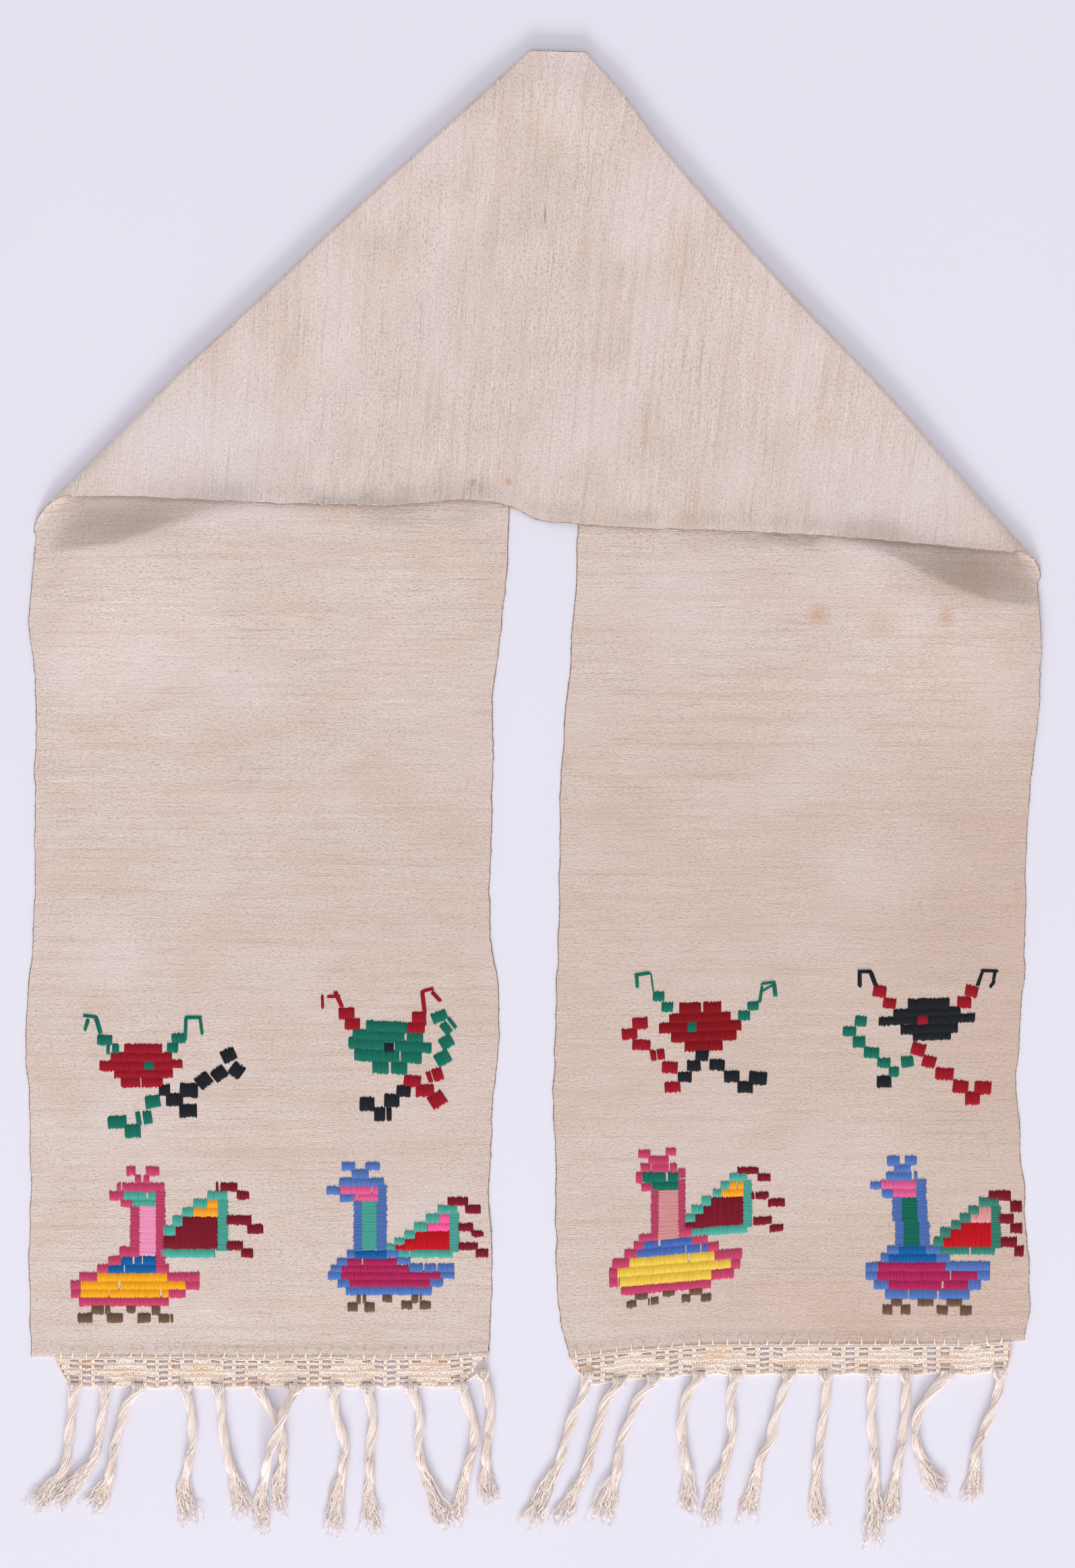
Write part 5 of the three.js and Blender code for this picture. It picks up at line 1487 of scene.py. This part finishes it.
def hand_woven_linen(settings):
    """Unbleached linen, spun and woven by hand in plain weave. The uneven threads give it a dry,
    crumbly grain with wavy lines and streaks along the weft, and a few darker slubs. The real
    threads are about 0.8 mm apart, too fine for the render, so the weft's lines are drawn 2 mm
    apart."""
    material, tree = new_material("hand_woven_linen")
    flat = add(tree, "UVMap", uv_map="flat", out="UV")
    crumple = add(tree, "Mapping", {"Vector": flat, "Scale": per_mm(4.5, 4)})
    crumple = add(tree, "TexNoise", {"Vector": crumple, "Scale": 1.0, "Detail": 3.0}, "Color")
    threads = add(tree, "VectorMath", {0: crumple, 1: (2.6 * MM, 3.4 * MM, 0.0), 2: flat},
                  operation="MULTIPLY_ADD")
    height = add(tree, "Mapping", {"Vector": threads, "Scale": per_mm(900, WEFT)})
    height = add(tree, "TexWave", {"Vector": height, "Scale": WAVE_UNIT, "Distortion": 0.0}, "Fac",
                 bands_direction="Y")
    height = add(tree, "Math", {0: height, 1: 0.08}, operation="MULTIPLY")
    for grain in GRAIN:
        place = add(tree, "Mapping", {"Vector": threads, "Scale": per_mm(grain.across, grain.along)})
        layer = add(tree, "TexNoise", {"Vector": place, "Scale": 1.0, "Detail": 2.0, "Roughness": 0.6})
        height = add(tree, "Math", {0: layer, 1: grain.share, 2: height}, operation="MULTIPLY_ADD")
    # The hollows of the grain are darker: partly the linen's own uneven tone, partly painted shade between
    # the threads
    hollow_shade = add(tree, "MapRange", {"Value": height, "From Min": 0.92, "From Max": 0.62,
                                    "To Min": 0.0, "To Max": 0.62}, interpolation_type="SMOOTHSTEP")
    tint = add(tree, "Mix", {0: hollow_shade, 6: settings.linen, 7: settings.linen_shade}, 2, data_type="RGBA")
    for part in TINTS:
        place = add(tree, "Mapping", {"Vector": threads, "Location": (part.start, part.across * MM, 0.0),
                                      "Scale": per_mm(part.across, part.along)})
        spots = add(tree, "TexNoise", {"Vector": place, "Scale": 1.0, "Detail": 2.0, "Roughness": 0.5})
        share = add(tree, "MapRange", {"Value": spots, "From Min": part.start, "From Max": part.full,
                                       "To Min": 0.0, "To Max": part.strength})
        tint = add(tree, "Mix", {0: share, 6: tint, 7: linear(part.colour)}, 2, data_type="RGBA")
    place = add(tree, "TexCoord", out="Object")
    ragged = add(tree, "Mapping", {"Vector": place, "Scale": per_mm(3.5, 2.2)})
    ragged = add(tree, "TexNoise", {"Vector": ragged, "Scale": 1.0, "Detail": 3.0, "Roughness": 0.7})
    # Stains, and painted shade in the folds' mouths and over the right leg, from the table above
    for stain_and_shade in STAINS_AND_SHADE:
        near = add(tree, "VectorMath", {0: place, 1: (stain_and_shade.x * MM, stain_and_shade.y * MM, 0.0)},
                   operation="SUBTRACT")
        near = add(tree, "VectorMath", {0: near, 1: (2 / (stain_and_shade.width * MM), 2 / (stain_and_shade.height * MM), 0.0)},
                   operation="MULTIPLY")
        away = add(tree, "VectorMath", {0: near}, "Value", operation="LENGTH")
        away = add(tree, "Math", {0: ragged, 1: 1.1, 2: away}, operation="MULTIPLY_ADD")
        share = add(tree, "MapRange", {"Value": away, "From Min": 1.75, "From Max": 0.75,
                                       "To Min": 0.0, "To Max": stain_and_shade.strength})
        tint = add(tree, "Mix", {0: share, 6: tint, 7: linear(stain_and_shade.colour)}, 2, data_type="RGBA")
    bump = add(tree, "Bump", {"Height": height, "Distance": 0.55 * MM, "Strength": 0.85})
    shader = add(tree, "BsdfPrincipled", {"Base Color": tint, "Normal": bump, "Roughness": 0.95,
                                          "Specular IOR Level": 0.2})
    add(tree, "OutputMaterial", {"Surface": shader})
    return material


# Shares of the cotton's red, green and blue that are left: in the hollows between the plies as painted
# shade, in single yarns as their own tone, and in patches as what age leaves
SHADE_IN_HOLLOWS = (0.76, 0.66, 0.62)
IN_YARNS = (0.88, 0.81, 0.78)
IN_PATCHES = (0.90, 0.74, 0.60)


def spun_cotton(name, cotton, twist, aged):
    """Soft cotton yarn, spun and plied. Its slanting plies catch light in short dashes, and the hollows
    between them are painted a little darker and warmer, as painted shade. Aged cotton has tan patches."""
    material, tree = new_material(name)
    flat = add(tree, "UVMap", uv_map="flat", out="UV")
    slanted = add(tree, "Mapping", {"Vector": flat, "Scale": (2.0, 1 / twist, 1.0)})
    plies = add(tree, "TexWave", {"Vector": slanted, "Scale": WAVE_UNIT, "Distortion": 0.4}, "Fac",
                bands_direction="DIAGONAL")
    fibre = add(tree, "Mapping", {"Vector": flat, "Scale": (4.0, 1 / (1.2 * MM), 1.0)})
    fibre = add(tree, "TexNoise", {"Vector": fibre, "Scale": 1.0, "Detail": 3.0, "Roughness": 0.6})
    height = add(tree, "Math", {0: plies, 1: 0.4, 2: fibre}, operation="MULTIPLY_ADD")
    hollow_shade = add(tree, "MapRange", {"Value": height, "From Min": 0.95, "From Max": 0.35,
                                    "To Min": 0.0, "To Max": 0.3})
    tint = add(tree, "Mix", {0: hollow_shade, 6: cotton, 7: stained_or_shaded(cotton, SHADE_IN_HOLLOWS)}, 2, data_type="RGBA")
    tone = add(tree, "Attribute", out="Fac", attribute_name="tone")
    share = add(tree, "Math", {0: tone, 1: 0.3}, operation="MULTIPLY")
    tint = add(tree, "Mix", {0: share, 6: tint, 7: stained_or_shaded(cotton, IN_YARNS)}, 2, data_type="RGBA")
    place = add(tree, "TexCoord", out="Object")
    patches = add(tree, "Mapping", {"Vector": place, "Scale": per_mm(34, 12)})
    patches = add(tree, "TexNoise", {"Vector": patches, "Scale": 1.0, "Detail": 2.0})
    share = add(tree, "MapRange", {"Value": patches, "From Min": 0.48, "From Max": 0.7,
                                   "To Min": 0.0, "To Max": aged})
    tint = add(tree, "Mix", {0: share, 6: tint, 7: stained_or_shaded(cotton, IN_PATCHES)}, 2, data_type="RGBA")
    bump = add(tree, "Bump", {"Height": height, "Distance": 0.25 * MM, "Strength": 0.6})
    shader = add(tree, "BsdfPrincipled", {"Base Color": tint, "Normal": bump, "Roughness": 0.92,
                                          "Specular IOR Level": 0.2})
    add(tree, "OutputMaterial", {"Surface": shader})
    return material


def stranded_cotton(name, dyed):
    """Dyed stranded cotton laid in satin stitch. The strands lie side by side, so each stitch shows fine
    lines along it, whose grooves are painted darker as painted shade, and its tone varies a little from the
    next."""
    material, tree = new_material("stranded_cotton_" + name)
    flat = add(tree, "UVMap", uv_map="flat", out="UV")
    strands = add(tree, "Mapping", {"Vector": flat, "Scale": (9.0, 1 / (3.5 * MM), 1.0)})
    strands = add(tree, "TexNoise", {"Vector": strands, "Scale": 1.0, "Detail": 2.0, "Roughness": 0.6})
    share = add(tree, "MapRange", {"Value": strands, "From Min": 0.62, "From Max": 0.3,
                                   "To Min": 0.0, "To Max": 0.18})
    tint = add(tree, "Mix", {0: share, 6: dyed, 7: shade(dyed, 0.65)}, 2, data_type="RGBA")
    tone = add(tree, "Attribute", out="Fac", attribute_name="tone")
    share = add(tree, "MapRange", {"Value": tone, "From Min": 0.5, "From Max": 0.0,
                                   "To Min": 0.0, "To Max": 0.14})
    tint = add(tree, "Mix", {0: share, 6: tint, 7: shade(dyed, 0.65)}, 2, data_type="RGBA")
    bump = add(tree, "Bump", {"Height": strands, "Distance": 0.2 * MM, "Strength": 0.5})
    shader = add(tree, "BsdfPrincipled", {"Base Color": tint, "Normal": bump, "Roughness": 0.75,
                                          "Specular IOR Level": 0.25})
    add(tree, "OutputMaterial", {"Surface": shader})
    return material


def matt_painted_board(paint):
    """A smooth board painted with matt pale paint, which shows only soft shadows."""
    material, tree = new_material("matt_painted_board")
    place = add(tree, "TexCoord", out="Object")
    mottle = add(tree, "TexNoise", {"Vector": place, "Scale": 3.0, "Detail": 2.0})
    tint = add(tree, "Mix", {0: mottle, 6: paint, 7: shade(paint, 0.975)}, 2, data_type="RGBA")
    shader = add(tree, "BsdfPrincipled", {"Base Color": tint, "Roughness": 0.9, "Specular IOR Level": 0.2})
    add(tree, "OutputMaterial", {"Surface": shader})
    return material


# The stage: half the floor's width, the two soft lights with their shares of the power, their
# distance in front, height and size, the point they face, and the camera's place, all in metres
FLOOR_HALF = 6.0
Light = namedtuple("Light", "name x share")
LIGHTS = [Light("light_left", -1.9, 1.06), Light("light_right", 1.1, 0.94)]
LIGHT_Y, LIGHT_Z = -12.0, 3.4
LIGHT_SIZE = (2.6, 2.4)
LIT_POINT = Vector((0.0, 0.1, 0.0))
CAMERA_X, CAMERA_Y = 2.9 * MM, 13.6 * MM


# Operators, one for each group of like pieces and one for the stage


class RUSHNYK_OT_cloth(bpy.types.Operator):
    """Lays the linen cloth in its two folds"""
    bl_idname = "rushnyk.cloth"
    bl_label = "Cloth"

    def execute(self, context):
        settings = context.scene.rushnyk_cloth
        linen = hand_woven_linen(settings)
        piece = cloth_parts(settings).build("linen_cloth", [linen], "linen", math.radians(60))
        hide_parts("cloth")
        # The selvedge thread's dark colour is partly painted shade under the cloth's edge
        thread = spun_cotton("selvedge_thread_and_painted_shade", settings.selvedge, 2.4 * MM, 0.1)
        selvedge_parts(settings).build("selvedges", [thread], "linen")
        return {"FINISHED"}


class RUSHNYK_OT_edgings(bpy.types.Operator):
    """Crochets the two edgings and oversews them to the hems"""
    bl_idname = "rushnyk.edgings"
    bl_label = "Edgings"

    def execute(self, context):
        settings = context.scene.rushnyk_edging
        crochet = spun_cotton("crochet_cotton", settings.cotton, 3.2 * MM, 0.6)
        sewing = spun_cotton("sewing_cotton", settings.sewing, 2.4 * MM, 0.2)
        for number, edging in enumerate(EDGINGS):
            made = Crochet(edging, settings, EDGING_SEED + number).parts()
            piece = made.build(f"edging_{edging.side}", [crochet], "cotton")
            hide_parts(f"lace_{edging.side}")
            made = overcast_parts(edging, settings, OVERCAST_SEED + number)
            made.build(f"overcast_{edging.side}", [sewing], "cotton")
        return {"FINISHED"}


class RUSHNYK_OT_tassels(bpy.types.Operator):
    """Knots the tassels into the edgings"""
    bl_idname = "rushnyk.tassels"
    bl_label = "Tassels"

    def execute(self, context):
        settings = context.scene.rushnyk_tassel
        depth = context.scene.rushnyk_edging.row_pitch * len(HOLES_IN_ROW)
        yarn = spun_cotton("tassel_cotton", settings.cotton, 3.0 * MM, 0.25)
        for edging in EDGINGS:
            for number, tassel in enumerate(TASSELS[edging.side], 1):
                seed = TASSEL_SEEDS[edging.side] + number
                made = Fringe(tassel, edging, settings, depth, seed).parts()
                piece = made.build(f"fringe_{edging.side}_{number:02d}", [yarn], "cotton")
                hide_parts(f"tassel_{edging.side}_{number:02d}")
        return {"FINISHED"}


class RUSHNYK_OT_embroidery(bpy.types.Operator):
    """Works the birds and flowers in satin stitch"""
    bl_idname = "rushnyk.embroidery"
    bl_label = "Embroidery"

    def execute(self, context):
        settings = context.scene.rushnyk_thread
        linen_half = context.scene.rushnyk_cloth.thickness / 2
        materials = {name: stranded_cotton(name, linear(value)) for name, value in THREADS.items()}
        for number, chart in enumerate(CHARTS):
            stitches = Stitches(chart, settings, STITCH_SEED + number)
            for bars in chart.bars:
                stitches.bars(bars)
            for squares in chart.squares:
                stitches.squares(squares)
            for stem in chart.stems:
                stitches.stem(stem)
            stitches.parts(linen_half).build(f"embroidery_{chart.name}",
                                             [materials[t] for t in stitches.threads], "embroidery")
        return {"FINISHED"}


class RUSHNYK_OT_stage(bpy.types.Operator):
    """Sets the floor, two soft lights and the camera above the towel"""
    bl_idname = "rushnyk.stage"
    bl_label = "Stage"

    def execute(self, context):
        settings = context.scene.rushnyk_stage
        half = FLOOR_HALF
        mesh = bpy.data.meshes.new("floor")
        mesh.from_pydata([(-half, -half, 0), (half, -half, 0), (half, half, 0), (-half, half, 0)], [],
                         [(0, 1, 2, 3)])
        mesh.materials.append(matt_painted_board(settings.floor))
        floor = bpy.data.objects.new("floor", mesh)
        context.scene.collection.objects.link(floor)
        for row in LIGHTS:
            lamp = bpy.data.lights.new(row.name, "AREA")
            lamp.shape = "RECTANGLE"
            lamp.size, lamp.size_y = LIGHT_SIZE
            lamp.energy = settings.key * row.share
            light = bpy.data.objects.new(row.name, lamp)
            light.location = (row.x, LIGHT_Y, LIGHT_Z)
            light.rotation_euler = (LIT_POINT - light.location).to_track_quat("-Z", "Y").to_euler()
            context.scene.collection.objects.link(light)
        world = bpy.data.worlds.new("studio")
        world.use_nodes = True
        sky = world.node_tree.nodes["Background"].inputs
        sky["Color"].default_value = (1.0, 1.0, 1.0, 1.0)
        sky["Strength"].default_value = settings.sky
        context.scene.world = world
        context.scene.view_settings.view_transform = "Standard"
        camera = bpy.data.cameras.new("camera")
        camera.lens = camera.sensor_width * settings.camera_height / settings.view_height
        camera.clip_end = 50.0
        eye = bpy.data.objects.new("camera", camera)
        eye.location = (CAMERA_X, CAMERA_Y, settings.camera_height)
        context.scene.collection.objects.link(eye)
        context.scene.camera = eye
        return {"FINISHED"}


class RUSHNYK_PT_panel(bpy.types.Panel):
    """Lists the steps that build the towel"""
    bl_idname = "RUSHNYK_PT_panel"
    bl_label = "Rushnyk"
    bl_space_type = "VIEW_3D"
    bl_region_type = "UI"
    bl_category = "Rushnyk"

    def draw(self, context):
        for operator in OPERATORS:
            self.layout.operator(operator.bl_idname)


SETTINGS = {
    "rushnyk_cloth": ClothSettings,
    "rushnyk_edging": EdgingSettings,
    "rushnyk_tassel": TasselSettings,
    "rushnyk_thread": ThreadSettings,
    "rushnyk_stage": StageSettings,
}
OPERATORS = [
    RUSHNYK_OT_cloth, RUSHNYK_OT_embroidery, RUSHNYK_OT_edgings, RUSHNYK_OT_tassels,
    RUSHNYK_OT_stage,
]


def register():
    """Makes the settings, steps and panel known to Blender."""
    for found in (*SETTINGS.values(), *OPERATORS, RUSHNYK_PT_panel):
        bpy.utils.register_class(found)
    for name, group in SETTINGS.items():
        setattr(bpy.types.Scene, name, PointerProperty(type=group))


def unregister():
    """Takes them out again."""
    for name in SETTINGS:
        delattr(bpy.types.Scene, name)
    for found in reversed((*SETTINGS.values(), *OPERATORS, RUSHNYK_PT_panel)):
        bpy.utils.unregister_class(found)


def declare_sheet():
    """Gathers the names of the pieces sewn to the cloth, and does nothing more with them."""
    names = ["selvedges", "overcast_left", "overcast_right", "edging_left", "edging_right"]
    names += [f"embroidery_{chart.name}" for chart in CHARTS]
    for side, tassels in TASSELS.items():
        names += [f"fringe_{side}_{number:02d}" for number in range(1, len(tassels) + 1)]


def main():
    """Builds the towel and its stage step by step."""
    register()
    for operator in OPERATORS:
        group, name = operator.bl_idname.split(".")
        getattr(getattr(bpy.ops, group), name)()
    declare_sheet()


if __name__ == "__main__":
    main()
